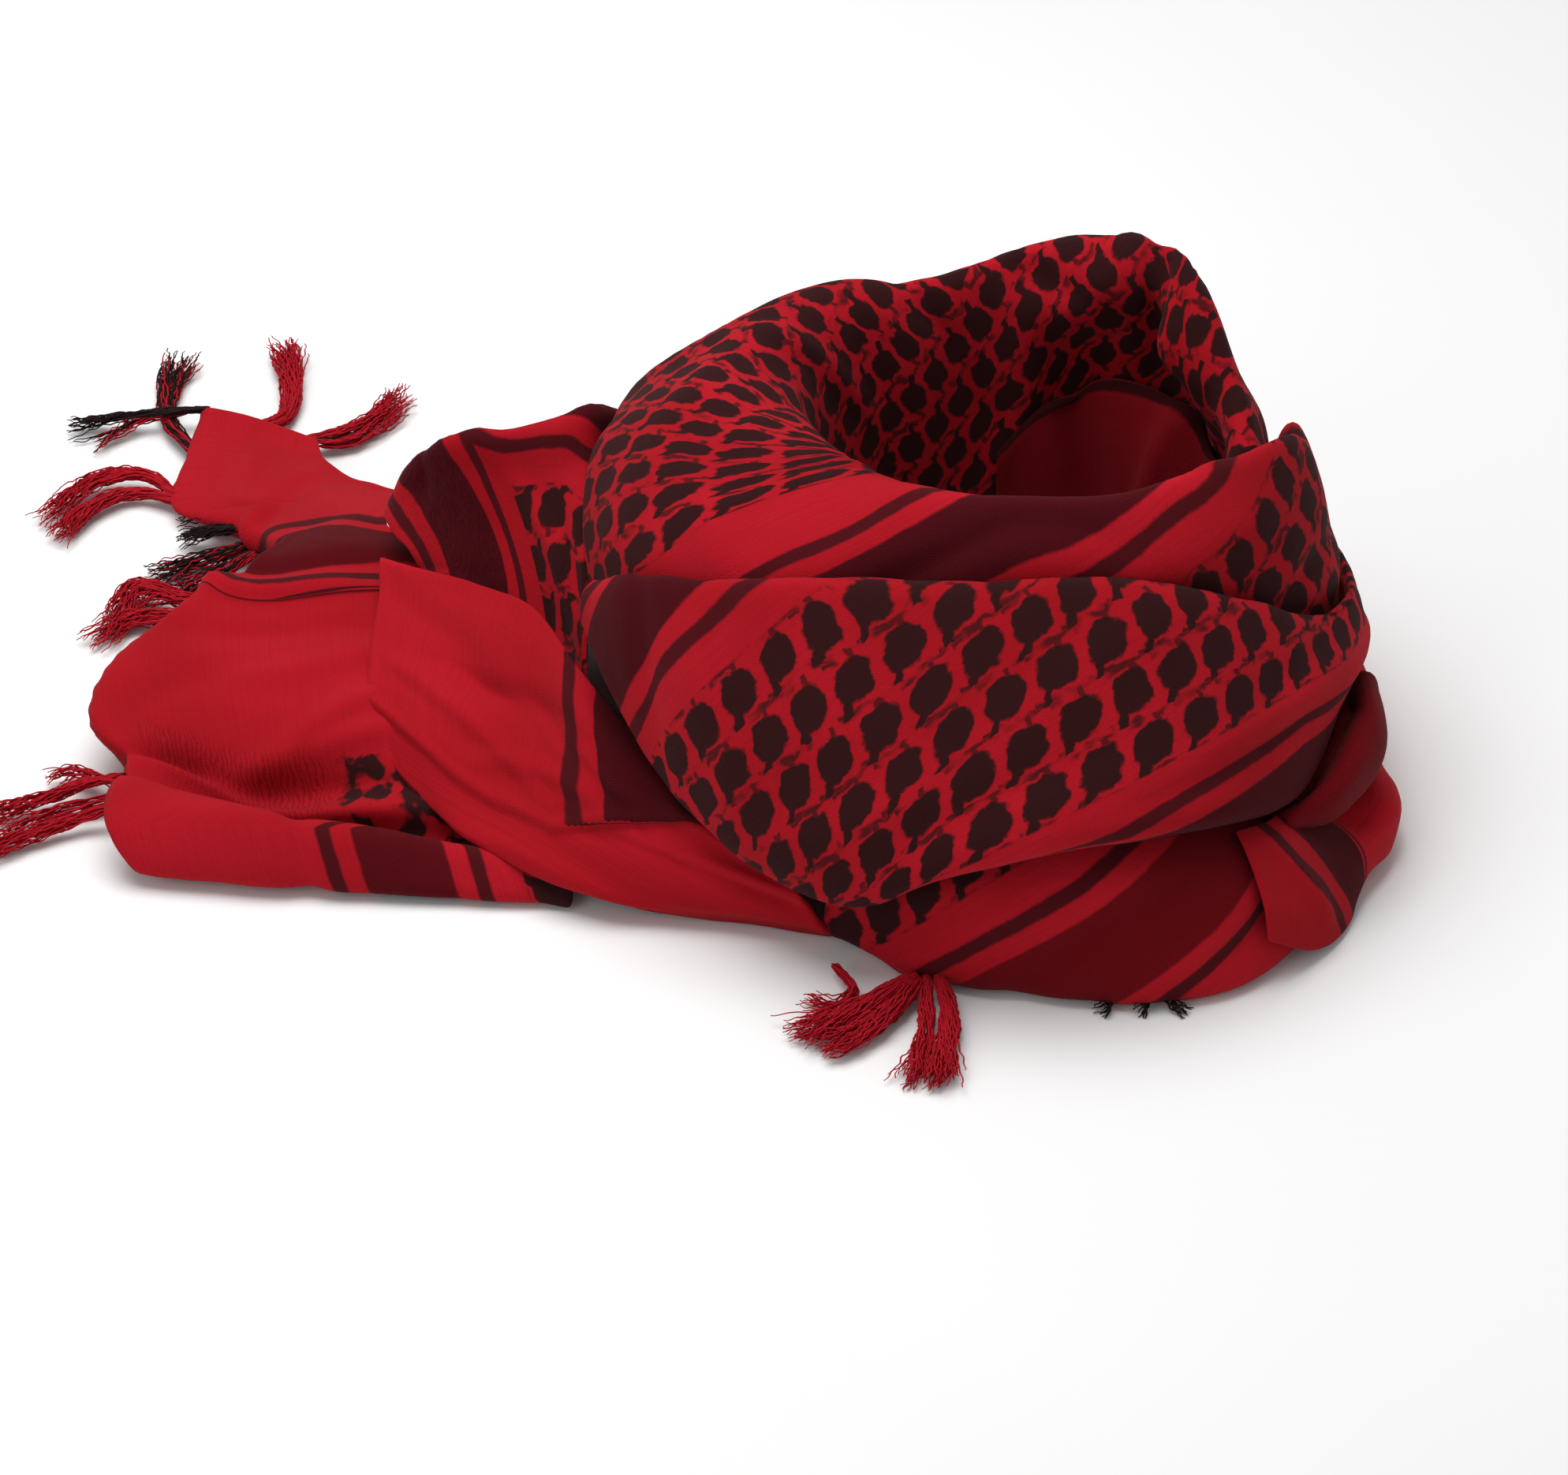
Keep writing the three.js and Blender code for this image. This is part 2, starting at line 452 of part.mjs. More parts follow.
// The buried layers of the loop: one rounded solid, open in the middle, flat below.
const LOOP_CORE = {
  place: roundNeck,
  alongSteps: 2,
  acrossSteps: 1,
  sections: [
    { at: 12, foot: [98, 0], wall: [98, 52], crown: [99, 62], top: [104, 62], flank: [105, 56],
      step: [106, 48], ledge: [108, 38], outer: [118, 24], skirt: [124, 12], edge: [124, 0] },
    { at: 30, foot: [108, 0], wall: [108, 52], crown: [109, 62], top: [113, 62], flank: [114, 54],
      step: [115, 46], ledge: [117, 34], outer: [124, 22], skirt: [128, 12], edge: [127, 0] },
    { at: 46, foot: [112, 0], wall: [113, 62], crown: [114, 72], top: [119, 72], flank: [121, 56],
      step: [122, 44], ledge: [124, 30], outer: [130, 20], skirt: [133, 12], edge: [132, 0] },
    { at: 57, foot: [115, 0], wall: [116, 74], crown: [117, 86], top: [124, 86], flank: [127, 60],
      step: [128, 42], ledge: [130, 28], outer: [136, 18], skirt: [139, 10], edge: [138, 0] },
    { at: 72, foot: [108, 0], wall: [109, 84], crown: [110, 98], top: [123, 98], flank: [130, 62],
      step: [132, 44], ledge: [134, 30], outer: [139, 19], skirt: [143, 10], edge: [142, 0] },
    { at: 92, foot: [95, 0], wall: [96, 120], crown: [99, 162], top: [105, 162], flank: [121, 112],
      step: [130, 56], ledge: [133, 40], outer: [140, 22], skirt: [144, 11], edge: [143, 0] },
    { at: 112, foot: [94, 0], wall: [98, 112], crown: [103, 152], top: [108, 154], flank: [128, 108],
      step: [136, 58], ledge: [139, 42], outer: [147, 23], skirt: [152, 12], edge: [151, 0] },
    { at: 138, foot: [98, 0], wall: [103, 112], crown: [113, 152], top: [136, 156], flank: [154, 112],
      step: [158, 50], ledge: [160, 36], outer: [168, 22], skirt: [172, 12], edge: [172, 0] },
    { at: 160, foot: [96, 0], wall: [101, 112], crown: [111, 150], top: [148, 153], flank: [178, 118],
      step: [180, 60], ledge: [179, 44], outer: [178, 28], skirt: [177, 12], edge: [175, 0] },
    { at: 180, foot: [88, 0], wall: [91, 112], crown: [97, 152], top: [146, 157], flank: [173, 128],
      step: [177, 80], ledge: [178, 54], outer: [177, 30], skirt: [176, 14], edge: [174, 0] },
    { at: 197, foot: [82, 0], wall: [85, 112], crown: [90, 154], top: [134, 156], flank: [166, 126],
      step: [170, 90], ledge: [172, 60], outer: [172, 30], skirt: [170, 14], edge: [168, 0] },
    { at: 209, foot: [78, 0], wall: [81, 114], crown: [86, 156], top: [118, 156], flank: [144, 136],
      step: [149, 114], ledge: [170, 102], outer: [170, 60], skirt: [162, 20], edge: [158, 0] },
    { at: 220, foot: [74, 0], wall: [78, 114], crown: [83, 158], top: [106, 157], flank: [126, 144],
      step: [130, 127], ledge: [156, 117], outer: [166, 76], skirt: [152, 24], edge: [150, 0] },
    { at: 232, foot: [72, 0], wall: [76, 114], crown: [81, 160], top: [96, 160], flank: [109, 149],
      step: [112, 135], ledge: [142, 127], outer: [164, 84], skirt: [148, 28], edge: [146, 0] },
    { at: 246, foot: [70, 0], wall: [73, 114], crown: [78, 162], top: [90, 162], flank: [99, 150],
      step: [102, 137], ledge: [134, 128], outer: [162, 86], skirt: [147, 28], edge: [145, 0] },
    { at: 275, foot: [68, 0], wall: [71, 114], crown: [76, 164], top: [86, 164], flank: [92, 150],
      step: [94, 135], ledge: [130, 126], outer: [158, 94], skirt: [150, 40], edge: [150, 0] },
    { at: 296, foot: [72, 0], wall: [75, 114], crown: [81, 164], top: [89, 163], flank: [95, 148],
      step: [97, 131], ledge: [130, 121], outer: [155, 92], skirt: [148, 44], edge: [148, 0] },
    { at: 314, foot: [83, 0], wall: [84, 112], crown: [91, 162], top: [99, 161], flank: [105, 142],
      step: [108, 116], ledge: [126, 106], outer: [142, 78], skirt: [136, 34], edge: [134, 0] },
    { at: 330, foot: [90, 0], wall: [92, 112], crown: [102, 158], top: [108, 156], flank: [116, 132],
      step: [118, 106], ledge: [125, 90], outer: [134, 68], skirt: [130, 28], edge: [128, 0] },
    { at: 346, foot: [103, 0], wall: [105, 92], crown: [112, 142], top: [116, 142], flank: [122, 122],
      step: [124, 98], ledge: [127, 82], outer: [129, 64], skirt: [126, 28], edge: [124, 0] },
    { at: 360, foot: [103, 0], wall: [104, 58], crown: [106, 68], top: [112, 68], flank: [114, 60],
      step: [114, 52], ledge: [114, 40], outer: [119, 26], skirt: [123, 12], edge: [122, 0] },
    { at: 372, foot: [98, 0], wall: [98, 52], crown: [99, 62], top: [104, 62], flank: [105, 56],
      step: [106, 48], ledge: [108, 38], outer: [118, 24], skirt: [124, 12], edge: [124, 0] },
  ],
};
add("loop_core", ringSolid(LOOP_CORE), BURIED);

// The buried layers under the two ends: one rounded pad, flat below.
const ENDS_CORE = {
  place: onTable,
  alongSteps: 2,
  acrossSteps: 1,
  sections: [
    { at: 0, foot: [-342, -6, 0], front: [-342, -2, 10], rise: [-342, 16, 20],
      crest: [-340, 36, 24], back: [-339, 46, 14], heel: [-339, 48, 0] },
    { at: 1, foot: [-328, -30, 0], front: [-328, -22, 11], rise: [-328, 16, 28],
      crest: [-326, 56, 34], back: [-324, 74, 22], heel: [-324, 78, 0] },
    { at: 2, foot: [-300, -40, 0], front: [-300, -30, 12], rise: [-300, 16, 32],
      crest: [-300, 72, 41], back: [-300, 94, 28], heel: [-300, 98, 0] },
    { at: 3, foot: [-268, -46, 0], front: [-268, -34, 12], rise: [-268, 14, 31],
      crest: [-266, 66, 39], back: [-268, 84, 26], heel: [-268, 86, 0] },
    { at: 4, foot: [-236, -52, 0], front: [-236, -38, 9], rise: [-236, 12, 28],
      crest: [-236, 50, 34], back: [-238, 76, 24], heel: [-238, 78, 0] },
    { at: 5, foot: [-212, -54, 0], front: [-212, -42, 7], rise: [-212, 4, 20],
      crest: [-212, 24, 24], back: [-212, 40, 18], heel: [-212, 42, 0] },
  ],
};
add("ends_core", barSolid(ENDS_CORE), BURIED);

// Tassels: threads gathered in a knot at the hem, lying on the table or over the cloth.
function tassel(points, spread = TASSEL_SPREAD) {
  const curve = new THREE.CatmullRomCurve3(points.map((p) => new THREE.Vector3(...p)));
  const rows = [];
  for (let i = 0; i <= TASSEL_STEPS; i++) {
    const t = i / TASSEL_STEPS;
    const middle = curve.getPointAt(t);
    const wide = TASSEL_ROOT + (spread - TASSEL_ROOT) * Math.sin((Math.PI / 2) * t);
    const high = Math.min(wide, TASSEL_ROOT + TASSEL_SWELL * t);
    const tangent = curve.getTangentAt(t);
    const side = new THREE.Vector3(-tangent.y, tangent.x, 0).normalize();
    const up = new THREE.Vector3().crossVectors(tangent, side);
    const ring = Array.from({ length: TASSEL_SIDES }, (_, k) => {
      const a = (2 * Math.PI * k) / TASSEL_SIDES;
      return middle.clone().addScaledVector(side, wide * Math.cos(a)).addScaledVector(up, high * Math.sin(a));
    });
    rows.push(ring);
  }
  return rowsSolid(rows, false);
}

const TASSELS = [
  { name: "tassel_corner", material: DARK_THREAD,
    path: [[-381, 247, 12], [-396, 245, 14], [-418, 241, 8], [-441, 237, 5]] },
  { name: "tassel_edge", material: DARK_THREAD,
    path: [[-387, 206, 8], [-395, 222, 5], [-396, 262, 5], [-396, 305, 5]] },
  { name: "tassel_hook", material: THREAD,
    path: [[-351, 237, 9], [-340, 246, 6], [-339, 274, 5], [-346, 314, 5]] },
  { name: "tassel_stray", material: THREAD,
    path: [[-331, 226, 10], [-317, 229, 8], [-303, 242, 6], [-284, 274, 5]] },
  { name: "tassel_double", material: THREAD,
    path: [[-389, 178, 8], [-408, 190, 6], [-426, 174, 5], [-446, 156, 5]] },
  { name: "tassel_dark", material: DARK_THREAD,
    path: [[-351, 128, 8], [-370, 121, 6], [-394, 108, 5]] },
  { name: "tassel_looped", material: THREAD,
    path: [[-353, 84, 18], [-374, 92, 10], [-396, 86, 6], [-412, 64, 5]] },
  { name: "tassel_left", material: THREAD,
    path: [[-392, -46, 9], [-412, -56, 6], [-434, -68, 5], [-456, -80, 5]] },
  { name: "tassel_front_left", material: THREAD,
    path: [[-62, -171, 7], [-80, -182, 5], [-100, -197, 5]] },
  { name: "tassel_front_right", material: THREAD,
    path: [[-48, -175, 7], [-50, -200, 5], [-45, -228, 5]] },
];
TASSELS.forEach(({ name, material, path }) => add(name, tassel(path), material));

// The origin goes to the middle of the scarf's footprint, on the table.
const reach = new THREE.Box3().setFromObject(scarf);
const footprint = reach.getCenter(new THREE.Vector3());
scarf.position.set(-footprint.x, -footprint.y, -reach.min.z);

export default scarf;
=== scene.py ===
"""Keffiyeh headscarf: a square of crimson and black cotton, wound round into a neck loop and laid on a
table with its two tasselled ends spread to one side. Section tables are in millimetres from the middle
of the neck opening, on the table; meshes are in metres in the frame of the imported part."""

import bpy
import numpy as np
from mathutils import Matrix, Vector


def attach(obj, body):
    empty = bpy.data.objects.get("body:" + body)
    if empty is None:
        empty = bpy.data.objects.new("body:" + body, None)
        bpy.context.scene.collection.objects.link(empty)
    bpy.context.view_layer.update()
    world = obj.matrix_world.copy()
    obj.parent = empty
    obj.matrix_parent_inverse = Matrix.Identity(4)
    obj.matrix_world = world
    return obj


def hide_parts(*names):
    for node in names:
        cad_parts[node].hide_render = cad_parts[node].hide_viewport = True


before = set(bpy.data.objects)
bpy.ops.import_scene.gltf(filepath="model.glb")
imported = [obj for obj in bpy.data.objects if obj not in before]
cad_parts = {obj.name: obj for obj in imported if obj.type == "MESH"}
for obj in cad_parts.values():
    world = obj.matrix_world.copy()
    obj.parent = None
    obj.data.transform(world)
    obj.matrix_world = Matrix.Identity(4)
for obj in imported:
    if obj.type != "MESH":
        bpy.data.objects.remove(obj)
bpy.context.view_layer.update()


# --- Upper wrap -------------------------------------------------------------------------------------
# The long turn of cloth that stands round the neck: one strip of the scarf folded over itself, rolled
# over at its top rim, running along the back, the left and the front and ending over its own start.
NECK = np.array([152.120, -42.986, 0.0])  # the neck opening's middle in the part's frame, mm


def sections(text):
    """A table of sections. Its heading names the points of a section; each row is one section: its place
    along the cloth, then every point's millimetres, as (out, up) round the neck or as (x, y, z)."""
    heading, *rows = [line.split() for line in text.strip().splitlines()]
    values = np.array(rows, float)
    return values[:, 0], values[:, 1:].reshape(len(rows), len(heading) - 1, -1)


def smooth(stations, values, at):
    """Cubic curve through values at rising stations. Its slope at a station is that of the line between
    the two neighbours. Stations and values may hold one more leading axis, of separate curves."""
    last = stations.shape[-1] - 1
    k = np.arange(last + 1)
    before, after = np.maximum(k - 1, 0), np.minimum(k + 1, last)
    slopes = (values[..., after, :] - values[..., before, :]) / (
        stations[..., after] - stations[..., before]
    )[..., None]
    i = np.clip((stations[..., None, :] <= at[..., :, None]).sum(-1) - 1, 0, last - 1)
    take = lambda what, index: np.take_along_axis(what, index[..., None], -2)
    start, end = (np.take_along_axis(stations, j, -1) for j in (i, i + 1))
    span = (end - start)[..., None]
    t = (at - start)[..., None] / span
    return (
        (2 * t**3 - 3 * t**2 + 1) * take(values, i)
        + (t**3 - 2 * t**2 + t) * span * take(slopes, i)
        + (3 * t**2 - 2 * t**3) * take(values, i + 1)
        + (t**3 - t**2) * span * take(slopes, i + 1)
    )


TINY = 1e-9  # keeps a division away from zero


def evenly(rows, count):
    """Each row of points again, as `count` points at equal distances along it."""
    step = np.linalg.norm(np.diff(rows, axis=1), axis=2)
    run = np.concatenate([np.zeros((len(rows), 1)), np.cumsum(step, 1)], 1)
    want = np.linspace(0, 1, count)[None] * run[:, -1:]
    right = np.clip((run[:, None, :] < want[:, :, None]).sum(-1), 1, run.shape[1] - 1)
    low, high = np.take_along_axis(run, right - 1, 1), np.take_along_axis(run, right, 1)
    part = ((want - low) / np.maximum(high - low, TINY))[..., None]
    point = lambda index: np.take_along_axis(rows, index[..., None], 1)
    return point(right - 1) * (1 - part) + point(right) * part


DENSE = 16  # points worked out between two named points of a section before they are spread evenly
NEAREST = 0.5  # two points of a section count as at least this far apart, mm


def loft(table, spacing):
    """The middle surface of a stretch, rows along it and columns across it, about `spacing` mm apart.
    Every named point runs along its own cubic; a section's curve through its points has its knots at
    the summed roots of their distances, so that tight rolls don't overshoot."""
    stations, values = table
    at = np.linspace(stations[0], stations[-1], DENSE * len(stations))
    points = smooth(stations, values.reshape(len(stations), -1), at)
    points = points.reshape(len(at), *values.shape[1:])
    if points.shape[2] == 2:
        angle = np.radians(at)[:, None]
        out, up = points[..., 0], points[..., 1]
        points = np.stack([out * np.cos(angle), out * np.sin(angle), up], -1)
    gaps = np.sqrt(np.maximum(np.linalg.norm(np.diff(points, axis=1), axis=2), NEAREST))
    knots = np.concatenate([np.zeros((len(at), 1)), np.cumsum(gaps, 1)], 1)
    share = np.linspace(0, 1, DENSE, endpoint=False)
    fine = knots[:, :-1, None] + gaps[:, :, None] * share
    fine = np.concatenate([fine.reshape(len(at), -1), knots[:, -1:]], 1)
    rows = smooth(knots, points, fine)
    width = np.linalg.norm(np.diff(rows, axis=1), axis=2).sum(1).mean()
    rows = evenly(rows, int(width / spacing) + 2)
    length = np.linalg.norm(np.diff(rows, axis=0), axis=2).sum(0).mean()
    return evenly(rows.swapaxes(0, 1), int(length / spacing) + 2).swapaxes(0, 1)


def facing(grid):
    """Unit normals of a grid: its direction along crossed with its direction across."""
    normal = np.cross(np.gradient(grid, axis=0), np.gradient(grid, axis=1))
    return normal / np.maximum(np.linalg.norm(normal, axis=2, keepdims=True), TINY)


def measured(grid, spine):
    """Two lengths in mm for each point of a grid: along the column at share `spine` of the width, and
    across its own row from that column."""
    middle = int(round(spine * (grid.shape[1] - 1)))
    steps = np.linalg.norm(np.diff(grid[:, middle], axis=0), axis=1)
    along = np.concatenate([[0], np.cumsum(steps)])[:, None] + np.zeros(grid.shape[:2])
    steps = np.linalg.norm(np.diff(grid, axis=1), axis=2)
    across = np.concatenate([np.zeros((len(grid), 1)), np.cumsum(steps, 1)], 1)
    return along, across - across[:, middle : middle + 1]


CREASE = 1.5  # height of a crease for each mm of its table's `deep`


def creases(text, along, across):
    """Height of a table of creases. Each runs through (along, across), `turn` degrees off the stretch's
    length, curving away by `bow` mm at its ends: a rounded ridge or, below zero, a trough, CREASE times
    `deep` mm high and `wide` mm wide, that fades out over its length `long`."""
    height = np.zeros(along.shape)
    for row in text.strip().splitlines()[1:]:
        s, q, long, wide, deep, turn, bow = map(float, row.split())
        c, d = np.cos(np.radians(turn)), np.sin(np.radians(turn))
        run = (along - s) * c + (across - q) * d
        off = (across - q) * c - (along - s) * d - bow * (2 * run / long) ** 2
        height += CREASE * deep * np.exp(-((2 * off / wide) ** 2) - (2 * run / long) ** 4)
    return height


WAVES, SHORTEST, LONGEST = 14, 26, 130  # the waves of slack in a stretch: how many, and mm long


def slack(along, across, seed, size):
    """Unevenness of loose cotton: waves of random length, direction and phase, about `size` mm high in
    all, the long ones higher, each with sharper crests than hollows, as slack cloth has."""
    draw = np.random.default_rng(seed)
    wave = draw.uniform(SHORTEST, LONGEST, WAVES)[:, None, None]
    turn = draw.uniform(0, np.pi, WAVES)[:, None, None]
    phase = draw.uniform(0, 2 * np.pi, WAVES)[:, None, None]
    bend = 6 * np.sin((along + across) / 37 + phase * 3)
    path = along * np.cos(turn) + across * np.sin(turn) + bend
    crest = 0.6 - np.abs(np.sin(np.pi * path / wave + phase)) ** 0.9
    return size * (crest * (wave / LONGEST) ** 0.6).sum(0) / 2.6


PLAIN = 34  # a distance from the hem where the cloth is plain, mm
FOLD_BLEND = 3  # width over which the pattern changes at the edge of a turned strip, mm


def on_square(along, across, lie, level, start, past_fold):
    """Where each point of a stretch lies on the flat square cloth, mm: (with the stripes, from the hem).
    Rows of `lie` are places along the stretch with the distance from the hem at `level` mm across, the
    stripes' turn off the stretch's length, and how much cloth is gathered into each mm of the stretch.
    Where `past_fold` is above zero, plain cloth is folded over."""
    rows = np.array([row.split() for row in lie.strip().splitlines()[1:]], float)
    from_level, degrees, gathered = (np.interp(along, rows[:, 0], column) for column in rows[:, 1:].T)
    turn = np.radians(degrees)
    run = np.cumsum(np.diff(along, axis=0, prepend=0) * np.cos(turn) * gathered, 0)
    with_stripes = start + run - (across - level) * np.sin(turn) * gathered
    from_hem = from_level + (across - level) * np.cos(turn) * gathered
    if past_fold is not None:
        over = np.clip(past_fold / FOLD_BLEND + 0.5, 0, 1)
        from_hem = from_hem * (1 - over) + PLAIN * over
    return np.stack([with_stripes, from_hem], -1)


def rounded_edges(grid, thick, square):
    """The grid with three more rows or columns past each edge, on a half circle of the edge's own
    thickness, so that a folded edge closes in a round."""
    bend = np.radians([35, 65, 88])[:, None]
    carry = np.array([0.1, 0.2, 0.3])[:, None, None]
    for axis in (0, 1):
        for order in (-1, 1):
            g, h, uv = (np.moveaxis(a, axis, 0)[::order] for a in (grid, thick, square))
            out = g[-1] - g[-2]
            out /= np.maximum(np.linalg.norm(out, axis=-1, keepdims=True), TINY)
            g = np.concatenate([g, g[-1] + out * (h[-1] * np.sin(bend))[..., None]])
            h = np.concatenate([h, h[-1] * np.cos(bend)])
            uv = np.concatenate([uv, uv[-1] + (uv[-1] - uv[-2]) * carry])
            grid, thick, square = (np.moveaxis(a[::order], 0, axis) for a in (g, h, uv))
    return grid, thick, square


def mesh_object(name, points, faces, uv=None):
    """A mesh from points in millimetres round the neck, with one UV of the square cloth for each point."""
    mesh = bpy.data.meshes.new(name)
    mesh.from_pydata(((points + NECK) / 1000).tolist(), [], faces.tolist())
    if uv is not None:
        layer = mesh.uv_layers.new(name="cloth")
        layer.data.foreach_set("uv", (uv[faces.ravel()] / 1000).ravel())
    mesh.polygons.foreach_set("use_smooth", np.ones(len(mesh.polygons), bool))
    mesh.validate()
    made = bpy.data.objects.new(name, mesh)
    bpy.context.scene.collection.objects.link(made)
    return made


def walled(name, grid, thick, square):
    """A closed wall round a middle grid: one side moved out along its normals by half its thickness, the
    other moved in, and the four edges joined."""
    normal = facing(grid)
    rows, columns = thick.shape
    points = np.concatenate([(grid + s * normal * thick[..., None]).reshape(-1, 3) for s in (1, -1)])
    index = np.arange(rows * columns).reshape(rows, columns)
    a, b, c, d = index[:-1, :-1], index[1:, :-1], index[1:, 1:], index[:-1, 1:]
    front = np.stack([a, b, c, d], -1).reshape(-1, 4)
    under = rows * columns
    rim = np.concatenate([index[:-1, 0], index[-1, :-1], index[:0:-1, -1], index[0, :0:-1]])
    after = np.roll(rim, -1)
    edge = np.stack([after, rim, rim + under, after + under], -1)
    faces = np.concatenate([front, front[:, ::-1] + under, edge])
    uv = np.concatenate([square.reshape(-1, 2)] * 2)
    return mesh_object(name, points, faces, uv)


LAYER = 1.8  # two layers of cotton lying together, mm
FOLD_STEP = 1.6  # height of a strip that is turned over, above the cloth beside it, mm
ROUND = 5.0  # reach of the swelling along a folded edge, mm
CLEAR = 0.1  # least gap between the cloth and the table, mm


def stretch_of_cloth(
    name, table, spacing, spine, lie, folds, seed, level=0, start=1500, turned=(), swell=1.0, ruffle=1.2
):
    """One stretch of the scarf: the loft of its table, its creases pressed in, its edges swollen by
    `swell` mm to the round of a fold, and its UV map giving each point's place on the square cloth.
    Lengths are measured from the column at share `spine`; `ruffle` is the height of its slack in mm.
    `turned` is the line, as (along, across), past which a strip is folded over and stands higher."""
    grid = loft(sections(table), spacing)
    along, across = measured(grid, spine)
    height = creases(folds, along, across) + slack(along, across, seed, ruffle)
    past_fold = across - np.interp(along, *zip(*turned)) if turned else None
    if turned:
        groove = np.exp(-(((past_fold + 2.5) / 3) ** 2))
        height += FOLD_STEP / (1 + np.exp(-past_fold / 0.8)) - FOLD_STEP * groove
    rows, columns = (np.minimum(np.arange(n), np.arange(n)[::-1]) for n in grid.shape[:2])
    edge = np.minimum.outer(rows, columns) * spacing
    grid = grid + facing(grid) * height[..., None]
    thick = LAYER / 2 + swell * np.exp(-((edge / ROUND) ** 2))
    grid[..., 2] = np.maximum(grid[..., 2], thick + CLEAR)
    square = on_square(along, across, lie, level, start, past_fold)
    made = walled(name, *rounded_edges(grid, thick, square))
    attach(made, "root")
    return made


class Wire:
    """A socket in a material's graph, on which arithmetic adds Math nodes."""

    def __init__(self, graph, socket):
        self.graph, self.socket = graph, socket

    def math(self, operation, *others):
        return self.graph.math(operation, self, *others)

    def __add__(self, other):
        return self.math("ADD", other)

    def __sub__(self, other):
        return self.math("SUBTRACT", other)

    def __rsub__(self, other):
        return self.graph.math("SUBTRACT", other, self)

    def __mul__(self, other):
        return self.math("MULTIPLY", other)

    def __truediv__(self, other):
        return self.math("DIVIDE", other)

    def __pow__(self, other):
        return self.math("POWER", other)

    def __abs__(self):
        return self.math("ABSOLUTE")

    __radd__, __rmul__ = __add__, __mul__


class Graph:
    """The node graph of one material."""

    def __init__(self, name):
        self.material = bpy.data.materials.new(name)
        self.material.use_nodes = True
        self.tree = self.material.node_tree
        self.tree.nodes.clear()

    def node(self, kind, settings=(), sockets=(), output=0):
        """A node of any type: its settings first, then values or wires for its sockets."""
        made = self.tree.nodes.new(kind)
        for key, value in dict(settings).items():
            setattr(made, key, value)
        for key, value in dict(sockets).items():
            if isinstance(value, Wire):
                self.tree.links.new(value.socket, made.inputs[key])
            else:
                made.inputs[key].default_value = value
        return Wire(self, made.outputs[output]) if len(made.outputs) else made

    def math(self, operation, *values):
        return self.node("ShaderNodeMath", {"operation": operation}, dict(enumerate(values)))

    def most(self, first, *others):
        """The greatest of some masks."""
        return self.math("MAXIMUM", first, self.most(*others)) if others else first

    def step(self, value, low, high):
        """0 below `low`, 1 above `high`, and a smooth rise between."""
        sockets = {0: value, 1: low, 2: high}
        return self.node("ShaderNodeMapRange", {"interpolation_type": "SMOOTHSTEP"}, sockets)

    def below(self, value, low, high):
        """1 below `low`, 0 above `high`, and a smooth fall between."""
        return 1.0 - self.step(value, low, high)

    def noise(self, vector, scale, detail=2.0):
        sockets = {"Vector": vector, "Scale": scale, "Detail": detail}
        return self.node("ShaderNodeTexNoise", {}, sockets)

    def mix(self, share, first, second):
        """One colour over another by a share from 0 to 1."""
        sockets = {0: share, 6: first, 7: second}
        return self.node("ShaderNodeMix", {"data_type": "RGBA"}, sockets, output=2)

    def finish(self, colour, roughness, relief, strength, distance, **others):
        """The surface: a Principled shader with a colour, a roughness and a bump, as the material."""
        bump = {"Strength": strength, "Distance": distance, "Height": relief}
        sockets = {
            "Base Color": colour,
            "Roughness": roughness,
            "Normal": self.node("ShaderNodeBump", {}, bump),
            **{key.replace("_", " "): value for key, value in others.items()},
        }
        surface = self.node("ShaderNodeBsdfPrincipled", {}, sockets)
        self.node("ShaderNodeOutputMaterial", {}, {"Surface": surface})
        return self.material


REPEAT, ROWS = 22.5, 24.0  # one check of the woven pattern, along the stripes and from row to row, mm
THREAD = 0.9  # a warp or weft thread, mm
BANDS = 117.0, 359.0  # the middles of the two bands of stripes, mm from the hem
FIRST_FIELD = 238.0, 71.0  # the checks between the bands: their middle and half their width, mm
FIRST_ROW = 166.0  # a line between two rows of checks, mm from the hem
MIDDLE_FIELD = 430.0  # where the longer checks of the middle begin, mm from the hem
PATCH = 2672.0, 2723.0  # the strip near one corner, counted on round the hem from the first corner, mm


